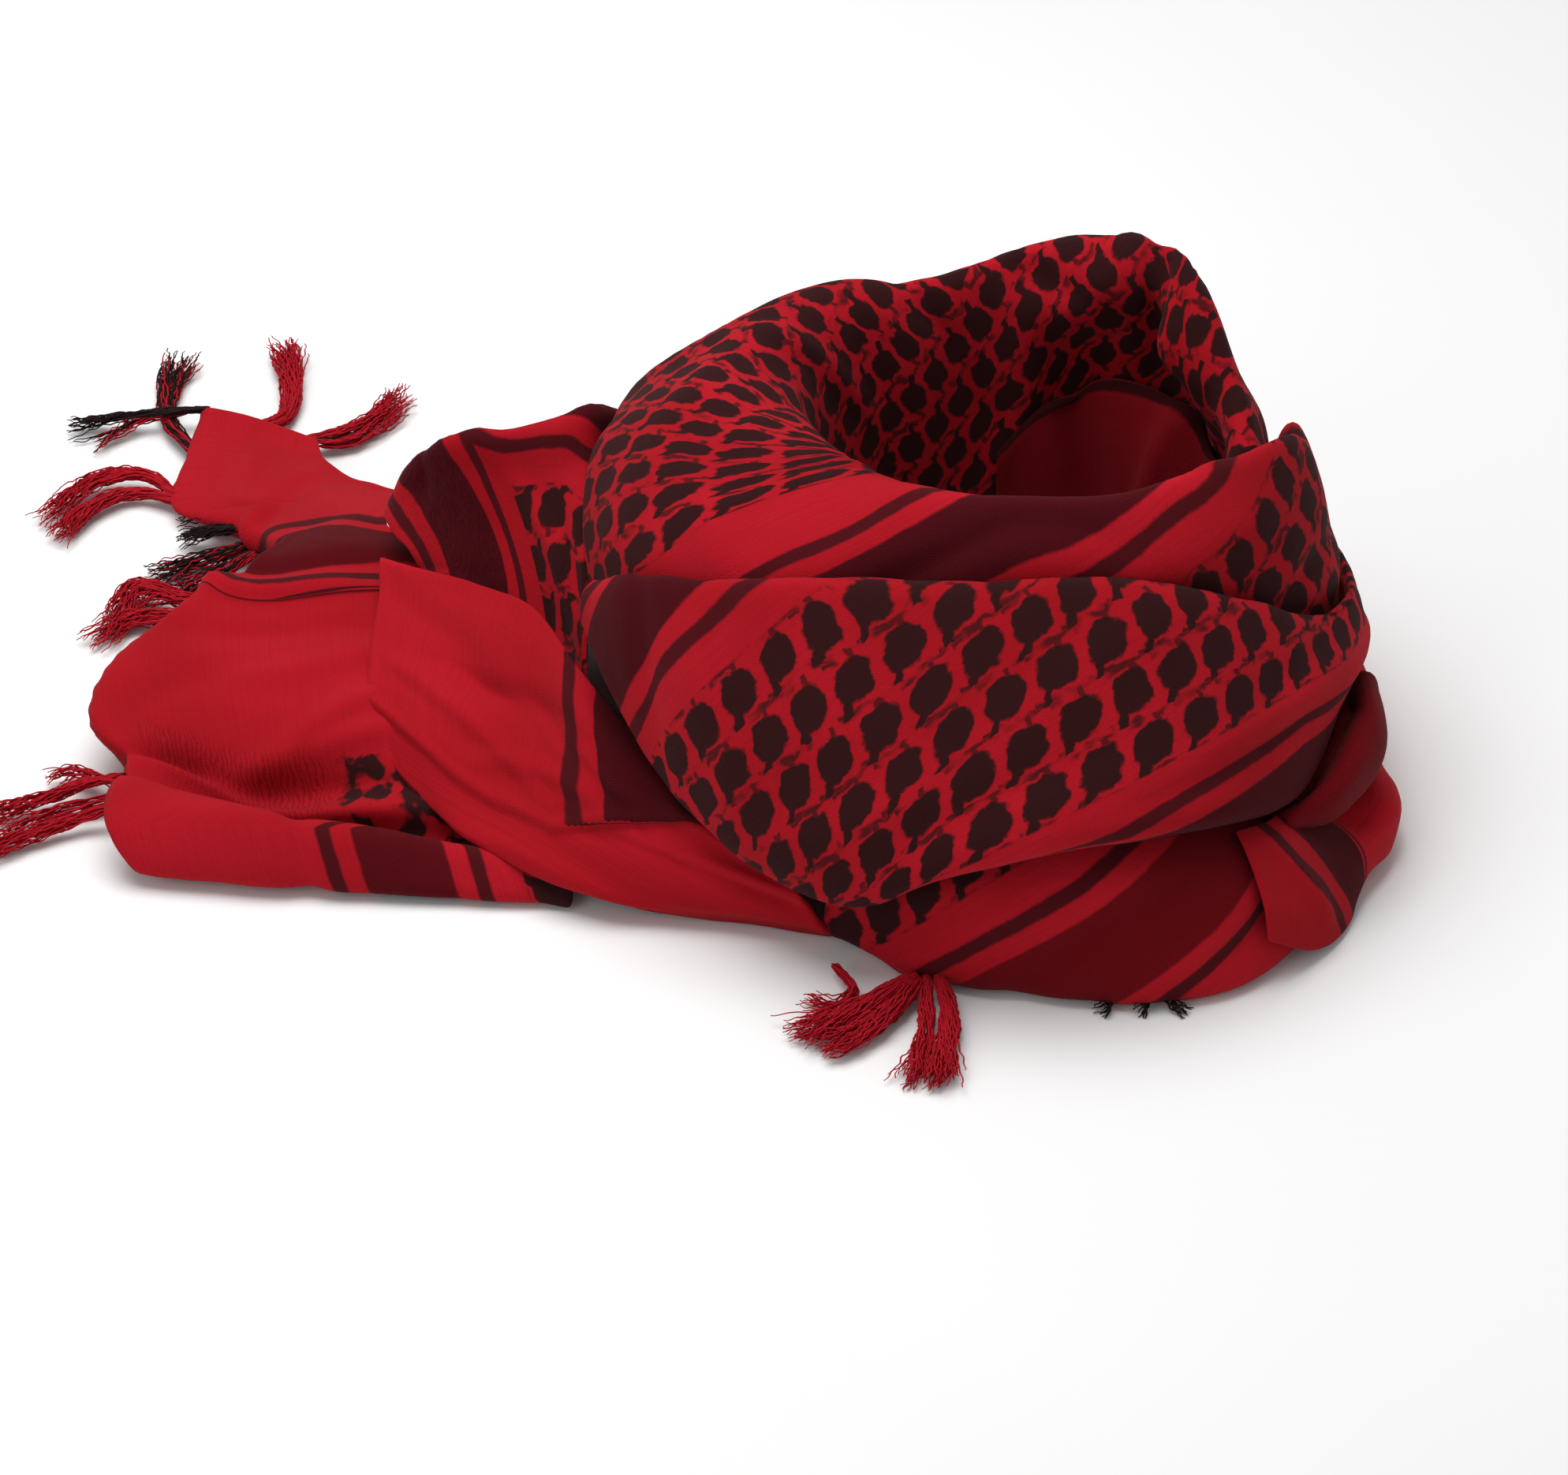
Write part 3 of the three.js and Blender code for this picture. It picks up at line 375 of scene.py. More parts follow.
def woven_cotton(name, shade=1.0, band=1.0):
    """The scarf's cloth, drawn from the UV map of the square. From the hem inwards: plain crimson, a band
    (thin, wide and thin black stripes), six rows of black checks linked by little hooks, a second band,
    and the longer checks of the middle. A short strip near one corner has broken checks and hatching.
    `shade` darkens all of it, as painted shade where it is below 1, and `band` lightens the wide stripes."""
    g = Graph(name)
    cloth = g.node("ShaderNodeUVMap", {"uv_map": "cloth"})
    flat = g.node("ShaderNodeSeparateXYZ", {}, {0: cloth}).socket.node.outputs
    wander = g.noise(cloth, 130.0, 3.0) - 0.5
    elsewhere = g.node("ShaderNodeVectorMath", {"operation": "ADD"}, {0: cloth, 1: (3.1, 7.7, 0)})
    wobble = g.noise(elsewhere, 140.0, 3.0) - 0.5
    fringe_side = Wire(g, flat[0]) * 1000.0
    with_stripes = fringe_side + wander * 7.0
    from_hem = Wire(g, flat[1]) * 1000.0 + wobble * 7.0
    straight = g.math("MINIMUM", Wire(g, flat[0]), Wire(g, flat[1])) * 1000.0 + wobble * 1.4

    # stripes: distance from the middle of the nearer band
    off = g.math("MINIMUM", abs(straight - BANDS[0]), abs(straight - BANDS[1]))
    wide = g.below(off, 18.2, 20.0)
    thin = g.below(abs(off - 31.0), 2.3, 4.0)

    # checks: a blunt black lozenge in each repeat, a stem from it down to a slanting line between the rows
    middle = g.step(straight, MIDDLE_FIELD - 0.5, MIDDLE_FIELD + 0.5)
    across_rows = g.math("FRACT", (from_hem - FIRST_ROW) / ROWS) * ROWS - ROWS / 2
    u = g.math("FRACT", (with_stripes + across_rows * 0.22) / REPEAT) * REPEAT - REPEAT / 2
    lozenge = (abs(u) / (8.9 + middle * 1.0)) ** 2.6 + (abs(across_rows) / (9.1 - middle * 1.0)) ** 2.6
    lozenge = g.below(lozenge, 0.72, 1.18)
    between = abs(abs(across_rows) - ROWS / 2 + 0.5 + u * 0.10)
    line = g.below(between, 0.5, 2.1) * g.step(g.noise(cloth, 90.0, 1.0), 0.40, 0.60)
    stem = g.below(abs(u - 2.5 + across_rows * 0.35), 1.6, 3.2) * g.below(across_rows, -6.0, -4.0)
    stub = g.below(abs(u + 5.0 - across_rows * 0.3), 0.9, 2.1) * g.step(across_rows, 5.0, 7.0) * 0.8
    first_field = g.below(abs(straight - FIRST_FIELD[0]), FIRST_FIELD[1], FIRST_FIELD[1] + 1.5)
    checks = g.most(lozenge, line * 0.85, stem, stub) * g.most(first_field, middle)

    # the strip near the corner: checks broken up by noise, and fine hatching between them and the hem
    ragged = fringe_side + wander * 34.0
    strip = g.step(ragged, PATCH[0], PATCH[0] + 4.0) * g.below(ragged, PATCH[1] - 4.0, PATCH[1])
    strip = strip * g.step(from_hem + wander * 26.0, 44.0, 50.0)
    broken = strip * g.step(g.noise(elsewhere, 75.0, 2.0), 0.44, 0.52)
    checks = g.most(checks, broken)
    stripes = g.most(wide, thin) * (1.0 - strip)
    wide, thin = g.math("MINIMUM", wide, stripes), g.math("MINIMUM", thin, stripes)
    hatch = g.step(fringe_side + wobble * 16.0, PATCH[0] + 12.0, PATCH[0] + 26.0)
    hatch = hatch * g.below(fringe_side + wander * 16.0, PATCH[1] - 1.0, PATCH[1] + 11.0)
    hatch = hatch * g.step(from_hem + wander * 30.0, -52.0, -30.0)
    hatch = hatch * g.below(from_hem + wander * 20.0, 34.0, 52.0)
    hatch = hatch * g.step(g.math("SINE", from_hem * 2.6 + wander * 2.0), -0.4, 0.9)

    # threads: black weft under crimson warp reads as a deep mauve, black over black as near black
    warp = g.math("SINE", straight * (2 * np.pi / THREAD))
    weft = g.math("SINE", with_stripes * (2 * np.pi / THREAD))
    rib = warp * weft
    large = g.noise(cloth, 9.0, 2.0)
    streak = g.noise(g.node("ShaderNodeMapping", {}, {0: cloth, 3: (30.0, 700.0, 1.0)}), 1.0, 2.0)
    # every colour is scaled by `shade`; below 1 this is painted shade
    tone = lambda red, green, blue: (red * shade, green * shade, blue * shade, 1)
    lit = g.mix(g.step(large, 0.3, 0.75), tone(0.31, 0.0040, 0.009), tone(0.41, 0.0070, 0.016))
    lit = g.mix(g.step(streak, 0.35, 0.8) * 0.25, lit, tone(0.25, 0.0025, 0.006))
    mauve = tone(0.040 * band, 0.001, 0.003), tone(0.090 * band, 0.003, 0.007)
    mauve = g.mix(g.step(rib + large, 0.0, 1.4) * 0.7, *mauve)
    dark = tone(0.020, 0.005, 0.005), tone(0.046, 0.004, 0.006)
    dark = g.mix(g.step(rib + streak, 0.2, 1.4) * 0.8, *dark)
    colour = g.mix(wide, lit, mauve)
    colour = g.mix(thin * 0.93, colour, tone(0.040, 0.003, 0.005))
    colour = g.mix(hatch * 0.42, colour, tone(0.070, 0.002, 0.004))
    colour = g.mix(checks, colour, dark)

    fibres = g.noise(cloth, 1500.0, 2.0)
    relief = rib * 0.5 + fibres * 0.7 + checks * 0.8 + streak * 0.5
    return g.finish(
        colour,
        0.82 + fibres * 0.15,
        relief,
        strength=0.42,
        distance=0.0005,
        Specular_IOR_Level=0.08,
        Sheen_Weight=0.05,
        Sheen_Roughness=0.45,
        Sheen_Tint=(1.0, 0.45, 0.48, 1),
    )


scarf_cloth = woven_cotton("scarf_cloth")
reverse_cloth = woven_cotton("reverse_cloth", band=2.2)  # the cloth's other side, with a paler wide stripe

upper_wrap = stretch_of_cloth(
    "upper_cloth",
    table="""
     at     tuck     wall      lip      rim  shoulder     side      hem
     12   92   6   93 100   88 130   95 142   101 134  112 100  118  60
     30  102   6  103 115   91 150   98 162   104 153  119 104  125  54
     46  107   6  107 135   80 168  103 187   111 178  125 110  133  44
     57  110   6  110 145  101 184  109 199   116 190  130 116  140  38
     72  103   6  103 140   86 174  103 196   112 188  129 120  143  42
     92   89   6   90 125   92 166  101 189   110 181  128 118  142  52
    112   88   6   92 115   97 158  105 176   114 168  136 114  148  54
    138   92   6   97 115  105 158  122 176   141 169  162 118  170  46
    160   90   6   95 115  103 156  122 172   154 164  187 126  187  50
    180   82   6   85 115   89 158  108 175   150 170  182 134  184  64
    197   76   6   79 118   82 162   95 175   140 166  174 132  177  86
    209   72   6   75 120   79 165   90 176   124 165  152 142  157 121
    220   68   6   72 120   76 167   86 177   111 166  133 150  138 134
    232   66   6   70 120   74 169   83 179   101 169  116 154  119 143
    246   64   6   67 120   71 170   80 181    95 171  106 156  108 145
    270   62   6   65 120   69 172   78 183    91 173   98 159   99 147
    298   64   6   68 120   75 172   83 183    95 172  102 154  103 142
    312   67  40   71 118   81 174   89 186   102 172  110 150  112 136
    324   76  92   78 117   89 175   96 187   110 171  119 142  120 112
    346   95 101   97 120  103 168  109 180   118 165  130 124  130  96
    364  113  92  112 118  109 138  114 148   120 140  128 114  129  84
    386  127  86  126 108  123 122  127 129   131 124  134 108  136  92
    """,
    spacing=3.6,
    spine=0.55,
    lie="""
    along from turn gathered
        0  815  220      1.3
      385  496  220      1.3
      455  436  221        1
      534  380  226        1
      576  344  233        1
      607  312  237        1
      650  270  239     1.15
      765  150  240      1.3
    """,
    level=65,
    folds="""
    along across long wide deep turn bow
       40     70  110   24 -3.6   80   8
       95     85  120   30  3.8   84  -6
      150     80  130   22 -4.0   96   7
      205     90  120   26 -3.2   78   5
      260     95  110   30  3.0   98  -8
      310     85  120   20 -3.2   82   6
      365    100   90   26 -2.6   70   5
       60    -60   90   18 -3.4   96   6
      100    -30  100   16  2.8   60   8
      130    -60  120   22 -3.4   88   6
      160    -20   80   14  2.2   40   6
      185    -65  110   20 -3.4   94  -5
      214    -40  100   14  2.6   70   7
      240    -60  130   24 -3.0   84   6
      290    -30   80   12 -2.4   62   5
      330      4   90   20 -2.2   30   6
      360    -10   70   10  1.8   50   4
      400     40  100   26  2.2   35   8
      432     78   90   14 -2.4   44   6
      470     30   70   12 -1.4   20   4
      545     85  110   13  1.8  -38   5
      590     10   90   10 -1.4  -20   4
      620     42   90   16 -1.9  -45   4
      700     30   90   14  1.8  -30   6
    """,
    seed=11,
)
upper_wrap.data.materials.append(scarf_cloth)
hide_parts("upper_wrap")


# --- Inner wrap -------------------------------------------------------------------------------------
# The turn of cloth before it, which shows only inside the neck opening at the right, leaning on the loop's
# inner wall with a soft fold along its top.
inner_wrap = stretch_of_cloth(
    "inner_cloth",
    table="""
     at      top   crest   wall    low   hem
    -44   80  88  78  87  77 72  76 46  76 8
    -34   80  87  78  86  75 72  74 46  74 8
    -22   81  92  77  91  73 76  71 48  72 8
      2   86 108  81 106  75 84  72 50  73 8
     28   94 118  89 117  82 92  78 50  78 8
     50  100 128  94 127  86 98  81 50  81 8
     70   96 130  90 128  83 98  79 50  79 8
     84   86 120  83 117  80 94  79 50  79 8
     97   84  96  83  93  83 76  82 46  82 8
    """,
    spacing=3.2,
    spine=0.2,
    lie="""
    along from turn gathered
        0   66  196        1
       90   60  184        1
      220   66  168        1
    """,
    folds="""
    along across long wide deep turn bow
       58     10  110   16 -4.0   84   6
       84     20   90   12  3.0   76  -6
      112     30  120   20 -6.0   92   7
      138     15  100   12  3.4   80   6
      170     20  110   18 -5.0   96  -6
    """,
    seed=12,
)
# inside the neck the cloth's colour is darkened to 0.42 as painted shade for the deep shade of the hollow
inner_wrap.data.materials.append(woven_cotton("painted_shade_cloth", shade=0.42))
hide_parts("inner_wrap")


# --- Front wrap -------------------------------------------------------------------------------------
# The second turn, which hangs full and round over the front of the loop from a folded upper edge, with its
# hem tucked under along the bottom.
front_wrap = stretch_of_cloth(
    "front_cloth",
    table="""
     at     back      top    upper    belly    lower      hem   under
    195  187 110  190 121  194 117  195 112  195 107  194 101  189 96
    202  177 122  180 138  187 133  192 121  194 106  193  90  185 82
    212  161 130  162 149  171 145  185 122  190  92  188  64  180 56
    228  131 138  131 158  142 154  169 120  186  80  188  54  179 46
    244  114 140  114 160  126 156  160 116  184  70  186  46  176 38
    258  107 141  106 161  118 156  152 120  177  88  183  70  173 62
    275  104 141  103 161  115 155  147 123  171  98  179  86  169 76
    294  107 136  106 155  118 150  146 121  167  94  173  81  164 71
    314  120 121  119 139  128 134  146 108  156  80  158  64  151 56
    330  132 101  132 117  139 112  147  95  147  78  144  65  138 58
    345  137  96  137 107  142 101  145  89  144  76  141  65  136 58
    357  136  88  137  94  140  89  141  80  140  70  138  61  134 56
    374  137  77  138  82  140  77  141  69  140  60  138  52  134 48
    396  139  74  140  77  141  73  142  66  142  59  141  53  138 50
    """,
    spacing=3.2,
    spine=0.5,
    lie="""
    along from turn gathered
        0  392  246        1
       55  338  246        1
       63  328  240        1
      100  298  232        1
      128  274  226        1
      160  250  215        1
      205  226  208        1
      264  202  208        1
      325  178  205     1.12
      360  168  196     1.22
      420  162  186      1.3
      555  162  182      1.3
    """,
    folds="""
    along across long wide deep turn bow
       55      5  100   14  1.4   70   4
       96     20   90   20 -1.4   60   6
      150     45   90   22 -1.6  -30   4
      215     38  110   18  1.3  -24   6
      262    -20  120   26 -1.2  -30   6
      318     30  120   13  1.5  -20   5
      340     12  100   12 -1.6  -19   4
      372    -12   90   16  1.5  -14   3
      430      4  110   14 -1.8   -6   3
      490     -4  100   12  1.6    5   3
    """,
    seed=13,
)
front_wrap.data.materials.append(scarf_cloth)
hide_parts("front_wrap")


# --- Foot wrap --------------------------------------------------------------------------------------
# The lowest turn at the front, which bulges out from under the front wrap and lies on the table.
foot_wrap = stretch_of_cloth(
    "foot_cloth",
    table="""
     at     top   upper   belly    toe    under
    238  155 34  158 28  161 18  162 8  155 1.2
    247  155 46  161 38  165 22  167 8  159 1.2
    258  156 58  167 45  172 26  174 8  166 1.2
    274  157 66  170 55  177 32  181 8  172 1.2
    286  156 67  172 57  183 34  189 7  180 1.2
    296  155 64  170 55  185 34  192 7  183 1.2
    306  151 54  162 47  175 31  182 7  173 1.2
    314  145 42  152 37  164 26  171 7  163 1.2
    """,
    spacing=3.0,
    spine=0.5,
    lie="""
    along from turn gathered
        0  190  216        1
       77  148  214        1
      116  130  212        1
      195   86  209        1
      240   60  208        1
    """,
    folds="""
    along across long wide deep turn bow
       60      5   90   18 -2.2  -35   4
      120      0  100   16  2.0  -32   5
      165      8   80   14 -1.8  -26   4
      205      0   80   18  1.8  -20   4
    """,
    seed=14,
)
foot_wrap.data.materials.append(reverse_cloth)
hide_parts("foot_wrap")


# --- Folds at the right -----------------------------------------------------------------------------
# Two folds of the same turns that stick out at the right of the loop: a hollow lip, and under it a plump
# roll that runs back along the table.
right_loop = stretch_of_cloth(
    "right_lip_cloth",
    table="""
     at   start   under   outer   crest     top    back     end    deep
    310  150 50  155 47  160 48  163 52  163 56  160 56  156 52  146 46
    317  158 46  164 43  168 48  169 55  167 60  163 60  158 54  144 42
    324  152 40  160 38  166 44  169 55  167 64  161 66  153 58  138 42
    332  146 38  155 36  163 42  167 55  164 67  157 70  148 60  132 42
    340  142 38  150 37  156 42  159 55  156 65  150 68  142 58  128 42
    347  140 40  146 39  149 43  151 53  150 60  146 62  140 56  126 44
    """,
    spacing=2.4,
    spine=0.5,
    lie="""
    along from turn gathered
        0  120    6        1
       95  120   -6        1
    """,
    folds="""
    along across long wide deep turn bow
       40      0   60   12  1.2   12   4
       70     10   50    9 -1.2   30   3
    """,
    seed=15,
    ruffle=0.5,
)
right_roll = stretch_of_cloth(
    "right_roll_cloth",
    table="""
     at   start   inner     top   outer    side      toe
    300  165 62  171 58  176 53  181 47  188 37  191  24
    308  160 56  166 53  172 46  180 35  187 22  190   7
    316  146 51  156 46  167 38  175 26  182 12  183   3
    324  142 34  153 34  165 30  174 22  175 11  169   3
    332  139 30  152 30  165 29  174 21  175 10  168 1.2
    345  136 30  144 30  150 28  156 20  156  9  149 1.2
    362  145 30  148 29  151 25  153 18  153  9  148 1.2
    382  146 27  148 26  150 23  152 16  152  8  148 1.2
    """,
    spacing=2.6,
    spine=0.5,
    lie="""
    along from turn gathered
        0   60  120        1
       40   90  123        1
       62  116  123        1
       72  135  118        1
       75  162  100        1
      245  162   90        1
    """,
    folds="""
    along across long wide deep turn bow
       30      0   50   10 -1.6   60   3
       85     -6   60   12  1.6   40   4
      120      4   80   12 -1.8    8   4
      190      0   90   14  1.6   -6   4
    """,
    seed=16,
    swell=0.2,
    ruffle=0.8,
)
for piece, node, width, length in (
    (right_loop, "right_loop", 0.065, 0.12),
    (right_roll, "right_roll", 0.046, 0.24),
):
    piece.data.materials.append(reverse_cloth if piece is right_loop else scarf_cloth)
    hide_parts(node)


# --- Back wrap --------------------------------------------------------------------------------------
# The hem of the buried turns round the back and the right, spread on the table under the upper wrap.
back_wrap = stretch_of_cloth(
    "back_cloth",
    table="""
     at     top   upper   belly     toe    under
      8  111 66  115 53  133 30  139 10  130 1.2
     28  119 60  123 47  137 27  141  9  132 1.2
     46  127 50  131 38  142 23  146  9  137 1.2
     57  134 45  138 33  148 21  152  9  143 1.2
     74  138 48  142 36  152 22  156  9  147 1.2
     92  136 58  140 46  153 26  158  9  149 1.2
    112  142 60  146 48  160 27  166  9  157 1.2
    128  154 56  158 44  173 26  178  9  169 1.2
    142  166 53  170 41  184 25  188  9  180 1.2
    """,
    spacing=3.4,
    spine=0.5,
    lie="""
    along from turn gathered
        0   58    4        1
      130   70   -3        1
      360   62    3        1
    """,
    folds="""
    along across long wide deep turn bow
       20     -6   60   12  2.0   50   4
       40      0   70   16 -2.6   60   5
       68     10   70   12  1.8   85  -4
       95      6   80   20  2.6   75  -4
      122     -4   60   12 -2.2   95   4
      150      0   80   14 -2.2   50   5
      186      4   70   14  2.0   70   5
      215      8   70   18  2.4   95   4
      244     -4   70   12 -2.0   55   4
      270      0   80   16 -2.6   70   5
      298      4   60   12  1.8   90   4
      325      4   70   18  2.2   82  -4
    """,
    seed=17,
)
back_wrap.data.materials.append(scarf_cloth)
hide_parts("back_wrap")


# --- Left wrap --------------------------------------------------------------------------------------
# Where the turns leave the loop at the left: the cloth stands in a ridge behind the two ends, and its
# front falls between them and the loop.
left_wrap = stretch_of_cloth(
    "left_cloth",
    table="""
    at         foot         back          top         face       front          low         sunk
     0  -275  96 60  -277  92 64  -279 82  68  -278 74  68  -274 66 66  -268  58 64  -262  50 58
     1  -268 104 56  -270  96 76  -269 76  94  -263 68  88  -258 58 78  -253  48 69  -247  38 62
     2  -252 110  6  -254  98 64  -251 68 116  -246 60 102  -240 50 84  -236  40 72  -232  28 58
     3  -226 114  6  -226 101 66  -225 65 121  -222 55 104  -217 40 82  -214  24 64  -211   6 50
     4  -204 116  6  -203 101 68  -202 60 131  -200 46 112  -198 22 84  -196   0 60  -195 -22 44
     5  -186 118  6  -186 102 66  -187 64 134  -188 47 118  -190 16 90  -190 -22 62  -190 -44 42
     6  -152 132  6  -154 119 56  -167 88 112  -183 62 106  -190 28 88  -191 -16 66  -191 -38 46
    """,
    spacing=2.8,
    spine=0.45,
    lie="""
    along from turn gathered
        0  113    0        1
      151  113    0        1
    """,
    start=79,
    folds="""
    along across long wide deep turn bow
       60     30   80   12  1.4   30   5
       95     60   90   14 -1.8   55   5
      125     90   70   12  1.6   70   4
      110    -40  100   20  2.2   86   6
       70    -50   90   16 -2.4   95   5
       30    -80   90   16  2.4   78   6
       92    -88   80   14 -2.6   70   6
      130    -70   90   16 -2.8   98   5
    """,
    seed=18,
)
left_wrap.data.materials.append(scarf_cloth)
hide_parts("left_wrap")


# --- Front end --------------------------------------------------------------------------------------
# The end that crosses in front of the loop: a broad flat fold that comes out from under the front wrap,
# its lower edge turned under in a soft roll.
front_end = stretch_of_cloth(
    "front_end_cloth",
    table="""
    at           top          high        middle           low          turn          roll          foot
     0  -280   50 62  -281   24 50  -283   -4 40  -283  -20 34  -280  -32 29  -276  -41 24  -270  -40 21
     1  -265   38 65  -265   16 58  -266   -8 47  -267  -30 37  -266  -48 28  -262  -62 19  -256  -58 18
     2  -238   18 71  -239    0 68  -241  -24 55  -242  -48 41  -240  -76 29  -236  -95 20  -228  -92 17
     3  -211  -10 77  -211  -28 73  -212  -52 58  -210  -78 42  -206 -102 30  -200 -118 16  -192 -114 13
     4  -190  -54 76  -189  -66 72  -186  -82 62  -180 -100 48  -172 -118 34  -166 -128 15  -160 -120  3
     5  -160  -86 55  -157  -96 53  -152 -107 48  -145 -117 40  -138 -128 31  -131 -134 14  -125 -126  2
     6  -122 -122 40  -116 -126 38  -110 -130 34  -103 -134 28   -96 -139 21   -90 -142 11   -86 -136  2
    """,
    spacing=1.7,
    spine=0.4,
    lie="""
    along from turn gathered
        0    4   90        1
      127   86   90        1
      143   95   90        1
      147   99   90        1
      240  150   90        1
    """,
    turned=[(0, 30), (43, 36), (60, 40), (82, 43), (116, 39), (141, 23), (193, -6), (240, -20)],
    folds="""
    along across long wide deep turn bow
       40    -20   90   22  2.2   20   6
       62     10  100   11 -1.8   14   6
       74     -6   80   10  1.4   10   5
       95    -10  110   13  1.7   -8   5
      108     16   90   10 -1.5  -12   5
      120     55  120    8 -1.4   -6   3
      134      0   90   12  1.5   18   5
      170     20  120    9  1.5  -10   4
      186     -6   80    9 -1.3   -4   3
      200     12   90    8 -1.4   -8   3
    """,
    seed=19,
)
front_end.data.materials.append(scarf_cloth)
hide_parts("front_end")


# --- Left end ---------------------------------------------------------------------------------------
# The widest end, spread on the table at the left: a rolled front edge, a hollow, a high middle over the
# layers beneath, and a flat corner at the back with the fringe.
left_end = stretch_of_cloth(
    "left_end_cloth",
    table="""
    at         tuck           left          inner         middle          right
     0  -358 -81  5  -366  -80 1.2  -334  -88 1.2  -276  -92 1.2  -200  -98 1.2
     1  -368 -94 10  -378 -100   8  -336 -107   8  -274 -111   6  -196 -117   4
     2  -379 -84 17  -390  -88  24  -336  -97  29  -272 -102  22  -196 -108  13
     3  -378 -68 19  -388  -66  31  -334  -84  30  -270  -92  22  -200 -100  12
     4  -374 -46 12  -384  -45  25  -330  -66   5  -272  -76   3  -204  -84   3
     5  -390 -22  8  -402  -20  31  -334  -16  31  -280  -32  30  -206  -44  22
     6  -381  14  6  -394   16  36  -336   30  40  -286   28  43  -216   24  38
     7  -350  54  6  -362   54  40  -334   70  44  -296   76  50  -244   72  43
     8  -324  95  8  -331   96  36  -318  102  40  -300  106  43  -283  104  42
     9  -328 114  6  -334  113  29  -318  118  33  -298  128  36  -276  138  34
    10  -345 146  5  -352  145  14  -334  147  23  -312  150  28  -289  154  29
    11  -376 171  4  -384  168   9  -354  164  16  -328  166  20  -304  170  22
    12  -373 206  4  -381  206  10  -358  202  12  -337  198  14  -318  196  15
    13  -368 244  4  -376  245  10  -359  237  12  -341  228  12  -323  216  12
    """,
    spacing=2.2,
    spine=0.5,
    lie="""
    along from turn gathered
        0   82    0        1
       48   82    0        1
       74   30    0        1
      214   30    0        1
      216  157  270        1
      225  148  270        1
      259  117  270        1
      293   86  270        1
      409    5  270        1
    """,
    start=2600,
    folds="""
    along across long wide deep turn bow
       20    -10  160   14  1.4    4   5
       81    -25  150   12  3.0   93   9
       96    -12  150   13 -6.0   91   8
      112    -24  120   16  4.5   86  10
       96     50  120   16 -4.0   90   4
      128      6  110   12 -2.0   74   8
      142     14  110   13 -2.6   62   6
      156    -50   90   16  2.4   48   8
      175     20  110   16 -2.2   78  -8
      196    -10  100   14  2.0   84   6
      222    -10  100   12 -3.4   88   5
      238     10  100   12  2.4   92   4
      318    -20   60    9 -4.0   44   3
      328     -8   60    9  3.0   40   3
      345     14   70   14  2.0   30   4
      375      0   70   16 -1.6   12   3
    """,
    seed=20,
)
left_end.data.materials.append(woven_cotton("corner_cloth", band=1.5))
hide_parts("left_end")


# --- Layers out of sight ----------------------------------------------------------------------------
# The turns buried in the loop and under the ends, which show only as dark edges in the gaps between the
# wraps. They are the same cotton, packed in layers that show at the edges; their dark colour is painted
# shade.
RIDGES = 900  # ridges of layers, as radians for each metre of height
RIDGE_HEIGHT = 0.0007  # m
WELD = 0.00002  # corners of the node closer than this are one, m


def packed_layers(name, node, material):
    """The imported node's form, merged, rounded by subdivision, then ridged every few millimetres of height
    where the layers' edges lie."""
    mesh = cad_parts[node].data.copy()
    mesh.name = name
    made = bpy.data.objects.new(name, mesh)
    bpy.context.scene.collection.objects.link(made)
    made.modifiers.new("weld", "WELD").merge_threshold = WELD
    rounding = made.modifiers.new("rounding", "SUBSURF")
    rounding.levels = rounding.render_levels = 2
    view = bpy.context.evaluated_depsgraph_get()
    shaped = bpy.data.meshes.new_from_object(made.evaluated_get(view))
    made.modifiers.clear()
    made.data = shaped
    spots, normals = np.empty((2, len(shaped.vertices) * 3), np.float32)
    shaped.vertices.foreach_get("co", spots)
    shaped.vertices.foreach_get("normal", normals)
    spots, normals = spots.reshape(-1, 3), normals.reshape(-1, 3)
    x, y, z = spots.T
    wave = np.sin(z * RIDGES + 1.5 * np.sin(x * 40) + 1.5 * np.sin(y * 35))
    spots = spots + normals * (wave * RIDGE_HEIGHT - RIDGE_HEIGHT)[:, None]
    spots[:, 2] = np.maximum(spots[:, 2], 0.0)
    shaped.vertices.foreach_set("co", spots.ravel().astype(np.float32))
    shaped.polygons.foreach_set("use_smooth", np.ones(len(shaped.polygons), bool))
    shaped.materials.clear()
    shaped.materials.append(material)
    shaped.update()
    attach(made, "root")
    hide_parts(node)


def painted_shade_cotton():
    """The same cotton, darkened with painted shade: crimson and black layers one on another, from Object
    coordinates.
    """
    g = Graph("painted_shade_cotton")
    place = g.node("ShaderNodeTexCoord", output=3)
    layers = g.noise(g.node("ShaderNodeMapping", {}, {0: place, 3: (6.0, 6.0, 170.0)}), 1.0, 2.0)
    # both colours are far darker than the cloth outside: painted shade for the gaps between the wraps
    colour = g.mix(g.step(layers, 0.42, 0.6), (0.045, 0.004, 0.006, 1), (0.20, 0.008, 0.014, 1))
    fibres = g.noise(place, 1500.0, 2.0)
    roughness = 0.85 + fibres * 0.1
    return g.finish(colour, roughness, fibres + layers, 0.3, 0.0005, Specular_IOR_Level=0.2)


# the buried layers get a colour of painted shade, darker than the cloth they are
buried_painted_shade_cotton = painted_shade_cotton()
packed_layers("layers_in_loop", "loop_core", buried_painted_shade_cotton)
packed_layers("layers_in_ends", "ends_core", buried_painted_shade_cotton)
